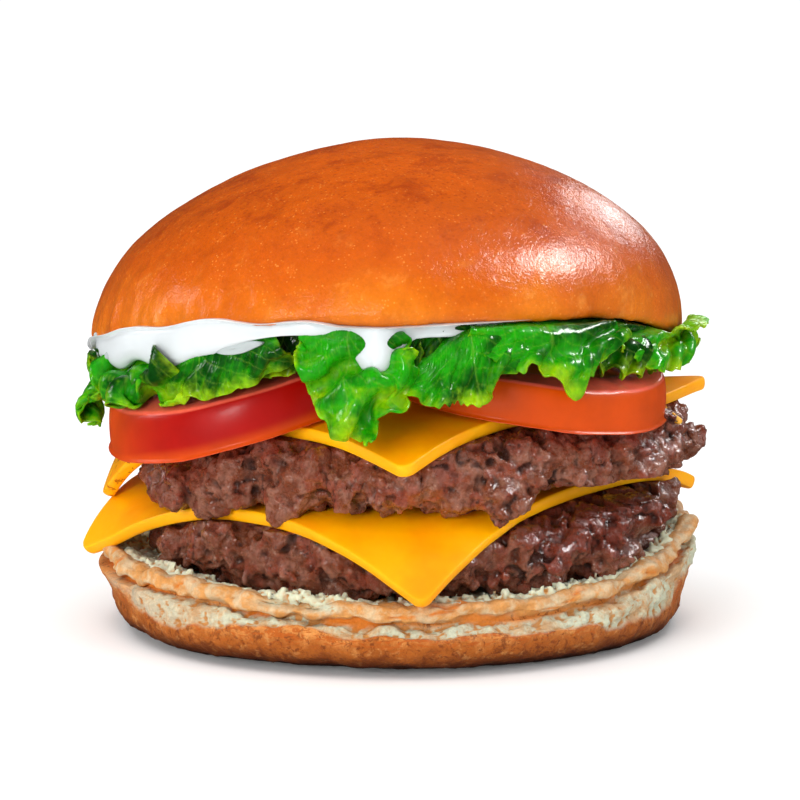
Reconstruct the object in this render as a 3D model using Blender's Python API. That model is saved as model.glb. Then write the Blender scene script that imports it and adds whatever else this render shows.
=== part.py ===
"""Double cheeseburger: heel bun, two beef patties, two cheese slices, three tomato slices, torn lettuce
leaves, white sauce and a domed crown bun.

The frame: metres, +Z up, origin at the middle of the heel's flat underside. -Y is the front, where one corner
of each cheese slice hangs down. Azimuth is measured from +X (east) counter-clockwise, so the front is 270 degrees.
Every layer lies on a height surface, written as a function of x and y, and the next layer starts a small gap
above it, so no two pieces touch.
"""

import math
import random
from collections import namedtuple

import bmesh
import bpy
import numpy as np

MM = 0.001
GAP = 0.35 * MM


def mm(*values):
    return np.array(values) * MM


# A row of values stands for equal steps of azimuth from east: eight of them are east, north-east, north,
# north-west, west, south-west, south (the front) and south-east.

# Heel bun
HEEL_FOOT_RADIUS = mm(53, 51, 49, 48, 48, 47, 44.5, 49)
HEEL_RADIUS = mm(58.3, 58, 57.6, 56.8, 56, 57, 57.2, 58)
HEEL_BULGE_HEIGHT = mm(7.6, 8, 8, 8.6, 9, 7.6, 7, 7.2)
HEEL_RIM_RADIUS = mm(59.6, 57.6, 56, 56.4, 56.8, 55, 54.4, 55.4)
HEEL_RIM_HEIGHT = mm(20.8, 20.6, 17.4, 17.2, 16.3, 15.2, 13.2, 14.2)
SEAT_RADIUS = mm(51.2, 51, 49, 46.5, 45, 46, 47.4, 49.4)
SEAT_HEIGHT = 12 * MM
SEAT_TILT = 0.02

# Lower patty and the slice on it. A lift is an azimuth and a width, the radius where it starts, and a slope.
LOWER_CENTRE = mm(3.2, 0)
LOWER_RADIUS = mm(52.2, 51.5, 50.5, 50.5, 51.5, 50, 48.8, 51)
LOWER_FOOT_RADIUS = mm(45, 45, 46, 46, 46, 45, 46, 46)
LOWER_BED_HEIGHT = 27.9 * MM
LOWER_BED_TILT = 0.05
LOWER_BED_DOME = 0.3
LOWER_LIFT = (math.radians(166), math.radians(14), 42 * MM, 0.34)
LOWER_FALL = np.array([0.3, 0.75, 0.5, 0.6, 0.9, 0.6, 0.3, 0.2, 0.85, 1.5, 0.5, 0.85, 1.15, 0.95, 0.6, 0.25])
SETTLE_LIMIT = 4 * MM
LOWER_FALL_START = mm(50, 50, 48, 48, 51, 49, 46.5, 48)

# Upper patty and the slice on it
UPPER_CENTRE = mm(5.8, 0)
UPPER_RADIUS = mm(54.8, 54, 53, 53, 54.6, 53, 52.6, 54)
UPPER_FOOT_RADIUS = mm(46, 48, 48, 49, 52.4, 51.5, 49.5, 49.5)
UPPER_BED_HEIGHT = 48.4 * MM
UPPER_BED_TILT = 0.0415
UPPER_BED_DOME = 3.0
UPPER_LIFT = (math.radians(5), math.radians(13), 43 * MM, 0.34)
UPPER_SAG = np.array([0, 0, 0, 0, 0.03, 0.09, -0.09, 0])
UPPER_SAG_START = mm(38)
UPPER_FALL = np.array([0, 0.1, 0.3, 0.3, 0.4, 0.3, 0.3, 0, 2.6, 4.2, 0.1, 0, 0.3, 0, 0, 0])
UPPER_FALL_START = mm(48, 48, 48, 49, 52.5, 49, 48, 48)
FALL_SOFTNESS = 5 * MM

# Cheese slices
SLICE_THICKNESS = 2.5 * MM
SLICE_CORNER = 4 * MM
LOWER_SLICE = (mm(-0.2, -0.4), 89.5 * MM, math.radians(6))
UPPER_SLICE = (mm(1.2, 2.6), 89.5 * MM, math.radians(1.5))

# The west corners have melted and run: an azimuth, a width and the share by which they are longer
LOWER_RUN = (math.radians(186), math.radians(12), 0.015)
UPPER_RUN = (math.radians(183), math.radians(14), 0.05)

# Tomato slices: x, y, radius, thickness
TOMATOES = {
    "tomato_left": mm(-27.2, -20.4, 26.5, 9.2),
    "tomato_right": mm(26.4, -21, 26.4, 7.9),
    "tomato_back": mm(1, 28.5, 26.6, 8.2),
}

# Crown bun
CROWN_RADIUS = mm(57.6, 58, 58.4, 58.8, 59.2, 58.8, 58.2, 57.8)
CROWN_RIM_HEIGHT = mm(57.2, 59, 59.5, 58.5, 56, 61.5, 65, 64.4)
CROWN_SEAT_HEIGHT = 65.4 * MM
CROWN_TOP_HEIGHT = 96 * MM
CROWN_LEAN = mm(3.2, 2)
CROWN_LIP = 1.6 * MM
CROWN_FULLNESS = 1.1

# White sauce under the crown. A drip is an azimuth, a width and how far it hangs.
SAUCE_THICKNESS = 1.4 * MM
SAUCE_INSET = mm(4, 5, 5, 4, 1.2, 0.6, 0.8, 1.5)
DRIPS = ((-168, 7, 2.6), (-151, 6, 2.8), (-135, 10, 4.6), (-122, 8, 1.6), (-95, 5, 4.4), (-80, 6, 1), (-62, 5, 0.8))
DRIP_WIDTH = 5.5 * MM

# Lettuce leaves, in degrees and millimetres: the middle azimuth and the half spread, where the leaf starts and
# leaves the stack, how far it hangs on and how steeply, its level between tomato and sauce, then its ruffles
Leaf = namedtuple("Leaf", "azimuth spread root reach hang droop level taper ruffle waves phase")
LEAVES = {
    "lettuce_far_left": Leaf(181, 11, 26, 50.5, 21, 84, 0.3, 0.15, 1.2, 3, 0.5),
    "lettuce_left": Leaf(-149, 16, 26, 51, 12, 50, 0.5, 0.1, 2.4, 4, 0),
    "lettuce_left_inner": Leaf(-122.5, 9.5, 26, 48, 12, 60, 0.5, 0.15, 1.4, 2, 1),
    "lettuce_centre": Leaf(-96, 11, 24, 47, 18.5, 80, 0.5, 0.15, 1.8, 3, 2),
    "lettuce_centre_right": Leaf(-76, 8, 24, 49, 15, 70, 0.5, 0.1, 1.2, 2, 1),
    "lettuce_right": Leaf(-56, 11, 24, 50, 14.5, 60, 0.6, 0.35, 1, 2, 0),
    "lettuce_right_dark": Leaf(-35, 9, 26, 50, 10, 45, 0.6, 0.1, 1.6, 3, 1),
    "lettuce_far_right": Leaf(-11, 13.5, 26, 52, 13.5, 16, 0.5, 0.2, 1.6, 3, 0),
    "lettuce_back_right": Leaf(22.5, 16.5, 26, 48.5, 9, 42, 0.2, 0.2, 1.5, 3, 0),
    "lettuce_back_middle": Leaf(61, 19, 24, 49, 11, 45, 0.5, 0.2, 1.8, 3, 1),
    "lettuce_back_left": Leaf(102, 19, 24, 49, 10, 40, 0.5, 0.2, 1.8, 3, 2),
    "lettuce_left_back": Leaf(144, 20, 24, 49, 12, 50, 0.5, 0.2, 1.8, 3, 0),
}
LEAF_THICKNESS = 1.1 * MM
LEAF_ROOM = 1.1 * MM
LEAF_BEND = 10 * MM

# Numbers of points round and across the pieces
ROUND_POINTS = 42
SAUCE_POINTS = 48
TOMATO_POINTS = 28
SLICE_POINTS = 12
LEAF_POINTS = (13, 5)


def around(azimuth, values):
    """A smooth closed curve through values at equal steps of azimuth."""
    count = len(values)
    step = (np.asarray(azimuth) / (2 * math.pi) % 1) * count
    first = np.floor(step).astype(int)
    t = step - first
    a, b, c, d = (values[(first + k) % count] for k in (-1, 0, 1, 2))
    return b + 0.5 * t * (c - a + t * (2 * a - 5 * b + 4 * c - d + t * (3 * (b - c) + d - a)))


def uneven(azimuth, seed, size):
    """A wavy closed line of about that size, the same for the same seed."""
    dice = random.Random(seed)
    total = 0
    for waves in (2, 3, 5, 7, 11):
        total = total + np.cos(waves * azimuth + dice.uniform(0, 2 * math.pi)) / math.sqrt(waves)
    return size * total / 2


def hinge(x, softness):
    """Nought where x is well below nought, x where it is well above, and smooth between."""
    return (x + np.sqrt(x * x + softness * softness)) / 2


def smoothstep(x):
    x = np.clip(x, 0, 1)
    return x * x * (3 - 2 * x)


def polar(x, y, centre=(0, 0)):
    return np.hypot(x - centre[0], y - centre[1]), np.arctan2(y - centre[1], x - centre[0])


def seat(x, y):
    """The heel's cut face."""
    return SEAT_HEIGHT + SEAT_TILT * x + 0 * y


def drop(x, y, slopes, starts):
    """How far a layer has fallen where it passes the start radius, with its own slope at each azimuth."""
    r, azimuth = polar(x, y)
    return around(azimuth, slopes) * hinge(r - around(azimuth, starts), FALL_SOFTNESS)


def near_azimuth(azimuth, middle, width):
    """One at the middle azimuth, falling to nought a few widths away."""
    turn = (azimuth - middle + math.pi) % (2 * math.pi) - math.pi
    return np.exp(-((turn / width) ** 2))


def lifted(x, y, middle, width, start, slope):
    """How far a layer rises at one side."""
    r, azimuth = polar(x, y)
    return slope * hinge(r - start, FALL_SOFTNESS) * near_azimuth(azimuth, middle, width)


def lower_flat(x, y):
    """The lower patty's top, before its edge falls away."""
    dome = LOWER_BED_HEIGHT + LOWER_BED_TILT * x - LOWER_BED_DOME * (x * x + y * y)
    return dome + lifted(x, y, *LOWER_LIFT)


def upper_flat(x, y):
    """The upper patty's top: domed, tilted, and lifted at its thick east end."""
    dome = UPPER_BED_HEIGHT + UPPER_BED_TILT * x - UPPER_BED_DOME * (x * x + y * y)
    return dome + lifted(x, y, *UPPER_LIFT) - drop(x, y, UPPER_SAG, UPPER_SAG_START)


def lower_bed(x, y):
    """The underside of the lower cheese slice: it droops where it passes the patty's edge."""
    return lower_flat(x, y) - drop(x, y, LOWER_FALL, LOWER_FALL_START)


def upper_bed(x, y):
    return upper_flat(x, y) - drop(x, y, UPPER_FALL, UPPER_FALL_START)


def beside_slice(x, y, centre, side, turn):
    """From nought under a square slice to one well outside its edge."""
    u = (x - centre[0]) * math.cos(turn) + (y - centre[1]) * math.sin(turn)
    v = (y - centre[1]) * math.cos(turn) - (x - centre[0]) * math.sin(turn)
    outside = (np.abs(u) + np.abs(v)) / math.sqrt(2) - side / 2
    return smoothstep((outside - 3 * MM) / (5 * MM))


def tomato_floor(x, y):
    return upper_flat(x, y) + SLICE_THICKNESS + 2 * GAP


def tomato_top(x, y):
    """The top of the nearest tomato slice, carried on past its edge."""
    thickness = np.where(x < -1 * MM, TOMATOES["tomato_left"][3], TOMATOES["tomato_right"][3])
    return tomato_floor(x, y) + np.where(y > 2 * MM, TOMATOES["tomato_back"][3], thickness)


def crown_seat(x, y):
    """The crown's cut face, which bends down at its east and west sides."""
    r, azimuth = polar(x, y)
    share = np.minimum(r / around(azimuth, CROWN_RADIUS), 1) ** 2
    return CROWN_SEAT_HEIGHT + (around(azimuth, CROWN_RIM_HEIGHT) - CROWN_SEAT_HEIGHT) * share


def drip_length(azimuth):
    return sum(length * MM * near_azimuth(azimuth, math.radians(a), math.radians(w)) for a, w, length in DRIPS)


def sauce_radius(azimuth):
    return around(azimuth, CROWN_RADIUS) - around(azimuth, SAUCE_INSET)


def sauce_floor(x, y):
    """The sauce's underside: it hangs in drips near the crown's edge."""
    r, azimuth = polar(x, y)
    near_edge = smoothstep((r - sauce_radius(azimuth) + DRIP_WIDTH) / (0.4 * DRIP_WIDTH))
    return crown_seat(x, y) - GAP - SAUCE_THICKNESS - near_edge * drip_length(azimuth)


# --- mesh building ---


def material(name, colour, roughness):
    made = bpy.data.materials.new(name)
    made.use_nodes = True
    shader = made.node_tree.nodes["Principled BSDF"]
    shader.inputs["Base Color"].default_value = (*colour, 1)
    shader.inputs["Roughness"].default_value = roughness
    shader.inputs["Metallic"].default_value = 0
    return made


def add_object(name, bm, finish, parent):
    bmesh.ops.recalc_face_normals(bm, faces=bm.faces)
    mesh = bpy.data.meshes.new(name)
    bm.to_mesh(mesh)
    bm.free()
    mesh.shade_smooth()
    mesh.materials.append(finish)
    obj = bpy.data.objects.new(name, mesh)
    bpy.context.scene.collection.objects.link(obj)
    obj.parent = parent
    return obj


def turned_solid(name, rings, finish, parent, points=ROUND_POINTS):
    """A closed solid from rings of points, bottom to top. The first and last rings are single points."""
    bm = bmesh.new()
    azimuth = np.arange(points) * 2 * math.pi / points
    loops = []
    for x, y, z in (ring(azimuth) for ring in rings):
        loops.append([bm.verts.new(p) for p in zip(x, y, z)])
    for spare in loops[0][1:] + loops[-1][1:]:
        bm.verts.remove(spare)
    bottom, top = loops[0][0], loops[-1][0]
    inner = loops[1:-1]
    for k in range(points):
        nxt = (k + 1) % points
        bm.faces.new((bottom, inner[0][nxt], inner[0][k]))
        for low, high in zip(inner, inner[1:]):
            bm.faces.new((low[k], low[nxt], high[nxt], high[k]))
        bm.faces.new((top, inner[-1][k], inner[-1][nxt]))
    return add_object(name, bm, finish, parent)


def sheet_object(name, grid, thickness, offset, finish, parent):
    """An open sheet through a grid of points, made solid by a Solidify modifier."""
    bm = bmesh.new()
    rows = [[bm.verts.new(p) for p in row] for row in grid]
    for low, high in zip(rows, rows[1:]):
        for k in range(len(low) - 1):
            bm.faces.new((low[k], low[k + 1], high[k + 1], high[k]))
    obj = add_object(name, bm, finish, parent)
    solidify = obj.modifiers.new("Solidify", "SOLIDIFY")
    solidify.thickness = thickness
    solidify.offset = offset
    return obj


# --- the pieces ---


def heel(parent):
    """Flat foot, browned bulge, torn band, groove, folded lip and the cut face inside it."""

    def ring(radius, height):
        def at(azimuth):
            r = radius(azimuth)
            r = r + uneven(azimuth, "heel", 0.4 * MM) * smoothstep(r / (50 * MM))
            x, y = r * np.cos(azimuth), r * np.sin(azimuth)
            return x, y, height(azimuth, x, y)

        return at

    def foot(azimuth):
        return around(azimuth, HEEL_FOOT_RADIUS)

    def bulge(azimuth):
        return around(azimuth, HEEL_RADIUS)

    def bulge_height(azimuth):
        return around(azimuth, HEEL_BULGE_HEIGHT)

    def rim_radius(azimuth):
        return around(azimuth, HEEL_RIM_RADIUS)

    def rim_height(azimuth):
        return around(azimuth, HEEL_RIM_HEIGHT)

    def seat_radius(azimuth):
        return around(azimuth, SEAT_RADIUS)

    rings = [
        ring(lambda a: 0 * a, lambda a, x, y: 0 * a),
        ring(lambda a: foot(a) - 2.4 * MM, lambda a, x, y: 0 * a),
        ring(lambda a: foot(a) + 0.5 * (bulge(a) - foot(a)), lambda a, x, y: 0.16 * bulge_height(a)),
        ring(lambda a: foot(a) + 0.87 * (bulge(a) - foot(a)), lambda a, x, y: 0.5 * bulge_height(a)),
        ring(bulge, lambda a, x, y: bulge_height(a)),
        ring(lambda a: rim_radius(a) + 1.6 * MM, lambda a, x, y: rim_height(a) - 4.2 * MM),
        ring(lambda a: rim_radius(a) - 1.1 * MM, lambda a, x, y: rim_height(a) - 3.4 * MM),
        ring(lambda a: rim_radius(a) + 0.6 * MM, lambda a, x, y: rim_height(a) - 2.2 * MM),
        ring(lambda a: rim_radius(a), lambda a, x, y: rim_height(a) - 0.3 * MM),
        ring(lambda a: rim_radius(a) - 2.6 * MM, lambda a, x, y: rim_height(a) - 0.2 * MM),
        ring(lambda a: seat_radius(a) + 2 * MM, lambda a, x, y: seat(x, y) + 0.35 * (rim_height(a) - seat(x, y))),
        ring(seat_radius, lambda a, x, y: seat(x, y)),
        ring(lambda a: 0 * a, lambda a, x, y: seat(x, y)),
    ]
    crust = material("heel_crust", (0.62, 0.34, 0.14), 0.7)
    return turned_solid("bun_heel", rings, crust, parent)


def patty(name, centre, outline, foot, floor, flat, bed, slice_place, finish, parent):
    """A beef patty between two surfaces, with a rounded uneven edge. It swells up beside the slice that lies on it."""

    def top(x, y):
        clear = 1.6 * GAP + 0.15 * np.abs(flat(x, y) - bed(x, y))
        return bed(x, y) - clear + (SLICE_THICKNESS - GAP) * beside_slice(x, y, *slice_place)

    def ring(share, height, width=1):
        def at(azimuth):
            edge = around(azimuth, foot) + width * (around(azimuth, outline) - around(azimuth, foot))
            r = share * (edge + uneven(azimuth, name, 1.3 * MM) * share**4)
            x, y = centre[0] + r * np.cos(azimuth), centre[1] + r * np.sin(azimuth)
            low, high = floor(x, y), top(x, y)
            return x, y, low + height * (high - low)

        return at

    rings = [
        ring(0, 0, 0),
        ring(0.6, 0, 0),
        ring(0.93, 0, 0),
        ring(1, 0.12, 0.3),
        ring(1, 0.38, 0.8),
        ring(1, 0.66),
        ring(0.985, 0.86),
        ring(0.95, 0.97),
        ring(0.87, 1),
        ring(0.7, 1),
        ring(0.4, 1),
        ring(0, 1),
    ]
    return turned_solid(name, rings, finish, parent)


def cheese_slice(name, centre, side, turn, run, bed, finish, parent):
    """A square slice laid over a bed. Along each ray from its middle the slice keeps its own length."""
    half = side / 2
    steps = np.linspace(-1, 1, SLICE_POINTS)
    steps = half * (0.65 * steps + 0.35 * np.sin(steps * math.pi / 2))
    u, v = np.meshgrid(steps, steps)
    # The corners are rounded by drawing in what reaches past the corner circle.
    inner = half - SLICE_CORNER
    du, dv = np.maximum(np.abs(u) - inner, 0), np.maximum(np.abs(v) - inner, 0)
    reach = np.hypot(du, dv)
    draw = np.where(reach > SLICE_CORNER, SLICE_CORNER / np.maximum(reach, 1e-9), 1)
    u = np.sign(u) * (np.minimum(np.abs(u), inner) + du * draw)
    v = np.sign(v) * (np.minimum(np.abs(v), inner) + dv * draw)
    length = np.hypot(u, v)
    azimuth = np.arctan2(v, u) + turn + math.pi / 4
    length = length * (1 + run[2] * near_azimuth(azimuth, run[0], run[1]))
    x, y, z = laid_along(bed, centre, length, azimuth)
    grid = np.stack([x, y, z], axis=2)
    return sheet_object(name, grid, SLICE_THICKNESS, 1, finish, parent)


def laid_along(bed, centre, length, azimuth, steps=40):
    """Where a point ends that walks that length over the bed, from centre towards azimuth."""
    east, north = np.cos(azimuth), np.sin(azimuth)
    r = np.zeros_like(length)
    probe = 0.2 * MM
    for _ in range(steps):
        x, y = centre[0] + r * east, centre[1] + r * north
        slope = (bed(x + probe * east, y + probe * north) - bed(x, y)) / probe
        r = r + length / steps / np.sqrt(1 + slope * slope)
    x, y = centre[0] + r * east, centre[1] + r * north
    return x, y, bed(x, y)


def tomato(name, place, finish, parent):
    """A tomato slice: a disc with a bulging skin edge that follows the surface it lies on."""
    cx, cy, radius, thickness = place

    def ring(share, height):
        def at(azimuth):
            r = share * (radius + uneven(azimuth, name, 0.5 * MM))
            x, y = cx + r * np.cos(azimuth), cy + r * np.sin(azimuth)
            return x, y, tomato_floor(x, y) + height * thickness

        return at

    rings = [
        ring(0, 0),
        ring(0.5, 0),
        ring(0.975, 0),
        ring(0.995, 0.12),
        ring(1, 0.5),
        ring(0.985, 0.88),
        ring(0.945, 1),
        ring(0.5, 1),
        ring(0, 1),
    ]
    return turned_solid(name, rings, finish, parent, points=TOMATO_POINTS)


def crown(parent):
    """The domed top bun: its lower edge is rolled under to the cut face."""

    def dome(angle):
        def at(azimuth):
            r = around(azimuth, CROWN_RADIUS) + uneven(azimuth, "crown", 0.35 * MM)
            low = around(azimuth, CROWN_RIM_HEIGHT) + CROWN_LIP
            lean = math.sin(angle)
            width = math.cos(angle) ** CROWN_FULLNESS
            x = r * width * np.cos(azimuth) + CROWN_LEAN[0] * lean
            y = r * width * np.sin(azimuth) + CROWN_LEAN[1] * lean
            return x, y, low + (CROWN_TOP_HEIGHT - low) * math.sin(angle)

        return at

    def under(inset, height):
        def at(azimuth):
            r = around(azimuth, CROWN_RADIUS) + uneven(azimuth, "crown", 0.35 * MM) - inset
            x, y = r * np.cos(azimuth), r * np.sin(azimuth)
            return x, y, crown_seat(x, y) + height

        return at

    def cut_face(share):
        def at(azimuth):
            r = share * around(azimuth, CROWN_RADIUS)
            x, y = r * np.cos(azimuth), r * np.sin(azimuth)
            return x, y, crown_seat(x, y)

        return at

    rings = [cut_face(0), cut_face(0.45), cut_face(0.75), under(2.6 * MM, 0), under(0.8 * MM, 0.5 * MM)]
    rings += [dome(math.radians(angle)) for angle in (0, 10, 20, 31, 43, 55, 67, 79, 90)]
    crust = material("crown_crust", (0.72, 0.27, 0.04), 0.3)
    return turned_solid("bun_crown", rings, crust, parent)


def sauce(finish, parent):
    """A thin layer that clings under the crown and hangs in drips at its edge."""

    def ring(inset, height):
        def at(azimuth):
            r = sauce_radius(azimuth) - inset
            x, y = r * np.cos(azimuth), r * np.sin(azimuth)
            high = crown_seat(x, y) - GAP
            low = high - SAUCE_THICKNESS - drip_length(azimuth)
            return x, y, low + height * (high - low)

        return at

    def flat(share, under):
        def at(azimuth):
            r = share * (sauce_radius(azimuth) - DRIP_WIDTH)
            x, y = r * np.cos(azimuth), r * np.sin(azimuth)
            return x, y, crown_seat(x, y) - GAP - under

        return at

    rings = [
        flat(0, SAUCE_THICKNESS),
        flat(0.6, SAUCE_THICKNESS),
        flat(1, SAUCE_THICKNESS),
        ring(3 * MM, 0.05),
        ring(1 * MM, 0),
        ring(0, 0.3),
        ring(0.5 * MM, 1),
        flat(1, 0),
        flat(0.6, 0),
        flat(0, 0),
    ]
    return turned_solid("white_sauce", rings, finish, parent, points=SAUCE_POINTS)


def leaf_grid(leaf, across, along):
    """A leaf from its root between tomato and sauce to its ruffled margin, which bends down outside the stack."""
    s, t = np.meshgrid(np.linspace(-1, 1, across), np.linspace(0, 1, along))
    inside = (leaf.reach - leaf.root) * MM
    walked = t * (inside + leaf.hang * MM) * (1 - leaf.taper * s * s)
    hung = np.maximum(walked - inside, 0)
    azimuth = np.radians(leaf.azimuth + leaf.spread * s * (0.6 + 0.4 * t))
    r = leaf.root * MM + walked - hung
    x, y = r * np.cos(azimuth), r * np.sin(azimuth)
    low, high = tomato_top(x, y) + LEAF_ROOM, sauce_floor(x, y) - LEAF_ROOM
    wave = leaf.ruffle * MM * t * t * np.sin(leaf.waves * math.pi * s + leaf.phase)
    level = low + leaf.level * (high - low)
    outside = smoothstep(hung / LEAF_BEND)
    z = np.minimum(np.maximum(level + wave * (1 - outside), low), high)
    droop = math.radians(leaf.droop)
    turn = droop * np.minimum(hung / LEAF_BEND, 1)
    beyond = np.maximum(hung - LEAF_BEND, 0)
    r = r + LEAF_BEND * np.sin(turn) / droop + beyond * math.cos(droop)
    z = z - LEAF_BEND * (1 - np.cos(turn)) / droop - beyond * math.sin(droop)
    r = r + outside * wave * np.sin(turn)
    z = z + outside * wave * np.cos(turn)
    return np.stack([r * np.cos(azimuth), r * np.sin(azimuth), z], axis=2)


def main():
    for obj in list(bpy.data.objects):
        bpy.data.objects.remove(obj, do_unlink=True)
    burger = bpy.data.objects.new("burger", None)
    bpy.context.scene.collection.objects.link(burger)

    beef = material("beef", (0.21, 0.1, 0.075), 0.45)
    cheddar = material("cheese", (0.95, 0.42, 0.02), 0.4)
    skin = material("tomato_skin", (0.75, 0.07, 0.02), 0.2)

    lettuce = material("lettuce", (0.12, 0.42, 0.03), 0.4)
    cream = material("sauce", (0.85, 0.84, 0.8), 0.3)

    heel(burger)

    def lower_floor(x, y):
        return seat(x, y) + GAP

    def upper_floor(x, y):
        fall = drop(x, y, LOWER_FALL, LOWER_FALL_START)
        return lower_flat(x, y) + SLICE_THICKNESS + 2 * GAP - fall / (1 + fall / SETTLE_LIMIT)

    lower = (LOWER_CENTRE, LOWER_RADIUS, LOWER_FOOT_RADIUS, lower_floor, lower_flat, lower_bed, LOWER_SLICE)
    upper = (UPPER_CENTRE, UPPER_RADIUS, UPPER_FOOT_RADIUS, upper_floor, upper_flat, upper_bed, UPPER_SLICE)
    patty("patty_lower", *lower, beef, burger)
    cheese_slice("cheese_lower", *LOWER_SLICE, LOWER_RUN, lower_bed, cheddar, burger)
    patty("patty_upper", *upper, beef, burger)
    cheese_slice("cheese_upper", *UPPER_SLICE, UPPER_RUN, upper_bed, cheddar, burger)
    for name, place in TOMATOES.items():
        tomato(name, place, skin, burger)
    for name, leaf in LEAVES.items():
        sheet_object(name, leaf_grid(leaf, *LEAF_POINTS), LEAF_THICKNESS, 0, lettuce, burger)
    sauce(cream, burger)
    crown(burger)


main()
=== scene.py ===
"""The finished look of a double cheeseburger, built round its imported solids.

Every piece follows the same height surfaces as the solids, so it lies where they lie. -Y is the front,
azimuth is measured from +X (east) counter-clockwise, and a row of values stands for equal steps of azimuth
from east.
"""

import itertools
import math
import random
from collections import namedtuple

import bmesh
import bpy
import numpy as np
from bpy.props import FloatProperty, FloatVectorProperty, IntProperty, PointerProperty
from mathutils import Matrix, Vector
from mathutils.bvhtree import BVHTree


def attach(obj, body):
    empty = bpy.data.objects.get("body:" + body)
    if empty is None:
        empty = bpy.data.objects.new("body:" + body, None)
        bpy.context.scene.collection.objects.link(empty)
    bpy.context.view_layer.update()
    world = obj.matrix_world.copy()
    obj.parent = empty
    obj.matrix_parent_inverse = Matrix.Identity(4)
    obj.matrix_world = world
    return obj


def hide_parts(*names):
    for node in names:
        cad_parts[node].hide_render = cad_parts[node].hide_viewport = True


bl_info = {
    "name": "Double cheeseburger",
    "version": (1, 0, 0),
    "blender": (4, 5, 0),
    "location": "View3D > Sidebar > Burger",
    "description": "Bun, beef, cheese, tomato, lettuce and sauce with their finishes",
    "category": "Object",
}

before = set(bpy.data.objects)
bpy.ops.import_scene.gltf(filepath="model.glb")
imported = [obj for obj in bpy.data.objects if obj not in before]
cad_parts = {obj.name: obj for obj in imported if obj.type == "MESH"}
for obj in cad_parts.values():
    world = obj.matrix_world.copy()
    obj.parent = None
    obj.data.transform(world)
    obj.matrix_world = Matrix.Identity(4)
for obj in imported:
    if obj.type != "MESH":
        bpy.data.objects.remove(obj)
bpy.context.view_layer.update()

MM = 0.001
GAP = 0.35 * MM
PROBE = 0.2 * MM


def mm(*values):
    """Millimetres as metres."""
    return np.array(values) * MM


# Heel bun
HEEL_FOOT_RADIUS = mm(53, 51, 49, 48, 48, 47, 44.5, 49)
HEEL_RADIUS = mm(58.3, 58, 57.6, 56.8, 56, 57, 57.2, 58)
HEEL_BULGE_HEIGHT = mm(7.6, 8, 8, 8.6, 9, 7.6, 7, 7.2)
HEEL_RIM_RADIUS = mm(59.6, 57.6, 56, 56.4, 56.8, 55, 54.4, 55.4)
HEEL_RIM_HEIGHT = mm(20.8, 20.6, 17.4, 17.2, 16.3, 15.2, 13.2, 14.2)
SEAT_RADIUS = mm(51.2, 51, 49, 46.5, 45, 46, 47.4, 49.4)
SEAT_HEIGHT = 12 * MM
SEAT_TILT = 0.02

# Lower patty and its slice. A lift is an azimuth and a width, the radius where it starts, and a slope.
LOWER_CENTRE = mm(3.2, 0)
LOWER_RADIUS = mm(52.2, 51.5, 50.5, 50.5, 51.5, 50, 48.8, 51)
LOWER_FOOT_RADIUS = mm(45, 45, 46, 46, 46, 45, 46, 46)
LOWER_BED_HEIGHT = 27.9 * MM
LOWER_BED_TILT = 0.05
LOWER_BED_DOME = 0.3
LOWER_LIFT = (math.radians(166), math.radians(14), 42 * MM, 0.34)
LOWER_FALL = np.array([0.3, 0.75, 0.5, 0.6, 0.9, 0.6, 0.3, 0.2, 0.85, 1.5, 0.5, 0.85, 1.15, 0.95, 0.6, 0.25])
SETTLE_LIMIT = 4 * MM
LOWER_FALL_START = mm(50, 50, 48, 48, 51, 49, 46.5, 48)

# Upper patty and its slice
UPPER_CENTRE = mm(5.8, 0)
UPPER_RADIUS = mm(54.8, 54, 53, 53, 54.6, 53, 52.6, 54)
UPPER_FOOT_RADIUS = mm(46, 48, 48, 49, 52.4, 51.5, 49.5, 49.5)
UPPER_BED_HEIGHT = 48.4 * MM
UPPER_BED_TILT = 0.0415
UPPER_BED_DOME = 3.0
UPPER_LIFT = (math.radians(5), math.radians(13), 43 * MM, 0.34)
UPPER_SAG = np.array([0, 0, 0, 0, 0.03, 0.09, -0.09, 0])
UPPER_SAG_START = mm(38)
UPPER_FALL = np.array([0, 0.1, 0.3, 0.3, 0.4, 0.3, 0.3, 0, 2.6, 4.2, 0.1, 0, 0.3, 0, 0, 0])
UPPER_FALL_START = mm(48, 48, 48, 49, 52.5, 49, 48, 48)
FALL_SOFTNESS = 5 * MM

# Cheese slices: centre, side and turn, then where a corner has run: azimuth, width and how much longer
SLICE_THICKNESS = 2.5 * MM
SLICE_CORNER = 2.4 * MM
LOWER_SLICE = (mm(-0.2, -0.4), 89.5 * MM, math.radians(6))
UPPER_SLICE = (mm(1.2, 2.6), 89.5 * MM, math.radians(1.5))
LOWER_RUN = (math.radians(186), math.radians(12), 0.015)
UPPER_RUN = (math.radians(183), math.radians(14), 0.05)

# Tomato slices: x, y, radius, thickness
TOMATOES = {
    "tomato_left": mm(-27.2, -20.4, 26.5, 9.2),
    "tomato_right": mm(26.4, -21, 26.4, 7.9),
    "tomato_back": mm(1, 28.5, 26.6, 8.2),
}

# Crown bun
CROWN_RADIUS = mm(57.6, 58, 58.4, 58.8, 59.2, 58.8, 58.2, 57.8)
CROWN_RIM_HEIGHT = mm(57.2, 59, 59.5, 58.5, 56, 61.5, 65, 64.4)
CROWN_SEAT_HEIGHT = 65.4 * MM
CROWN_TOP_HEIGHT = 96 * MM
CROWN_LEAN = mm(3.2, 2)
CROWN_LIP = 1.6 * MM
CROWN_FULLNESS = 1.1
CROWN_UNEVENNESS = 0.35 * MM
SKIRT = mm(0.8, 0.8, 0.8, 0.8, 0.8, 0.8, 0.8, 0.8, 2, 1.8, 0.6, 0.2, 1.5, 1.2, 0.9, 0.8)
SKIRT_WIDTH = 7 * MM

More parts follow.
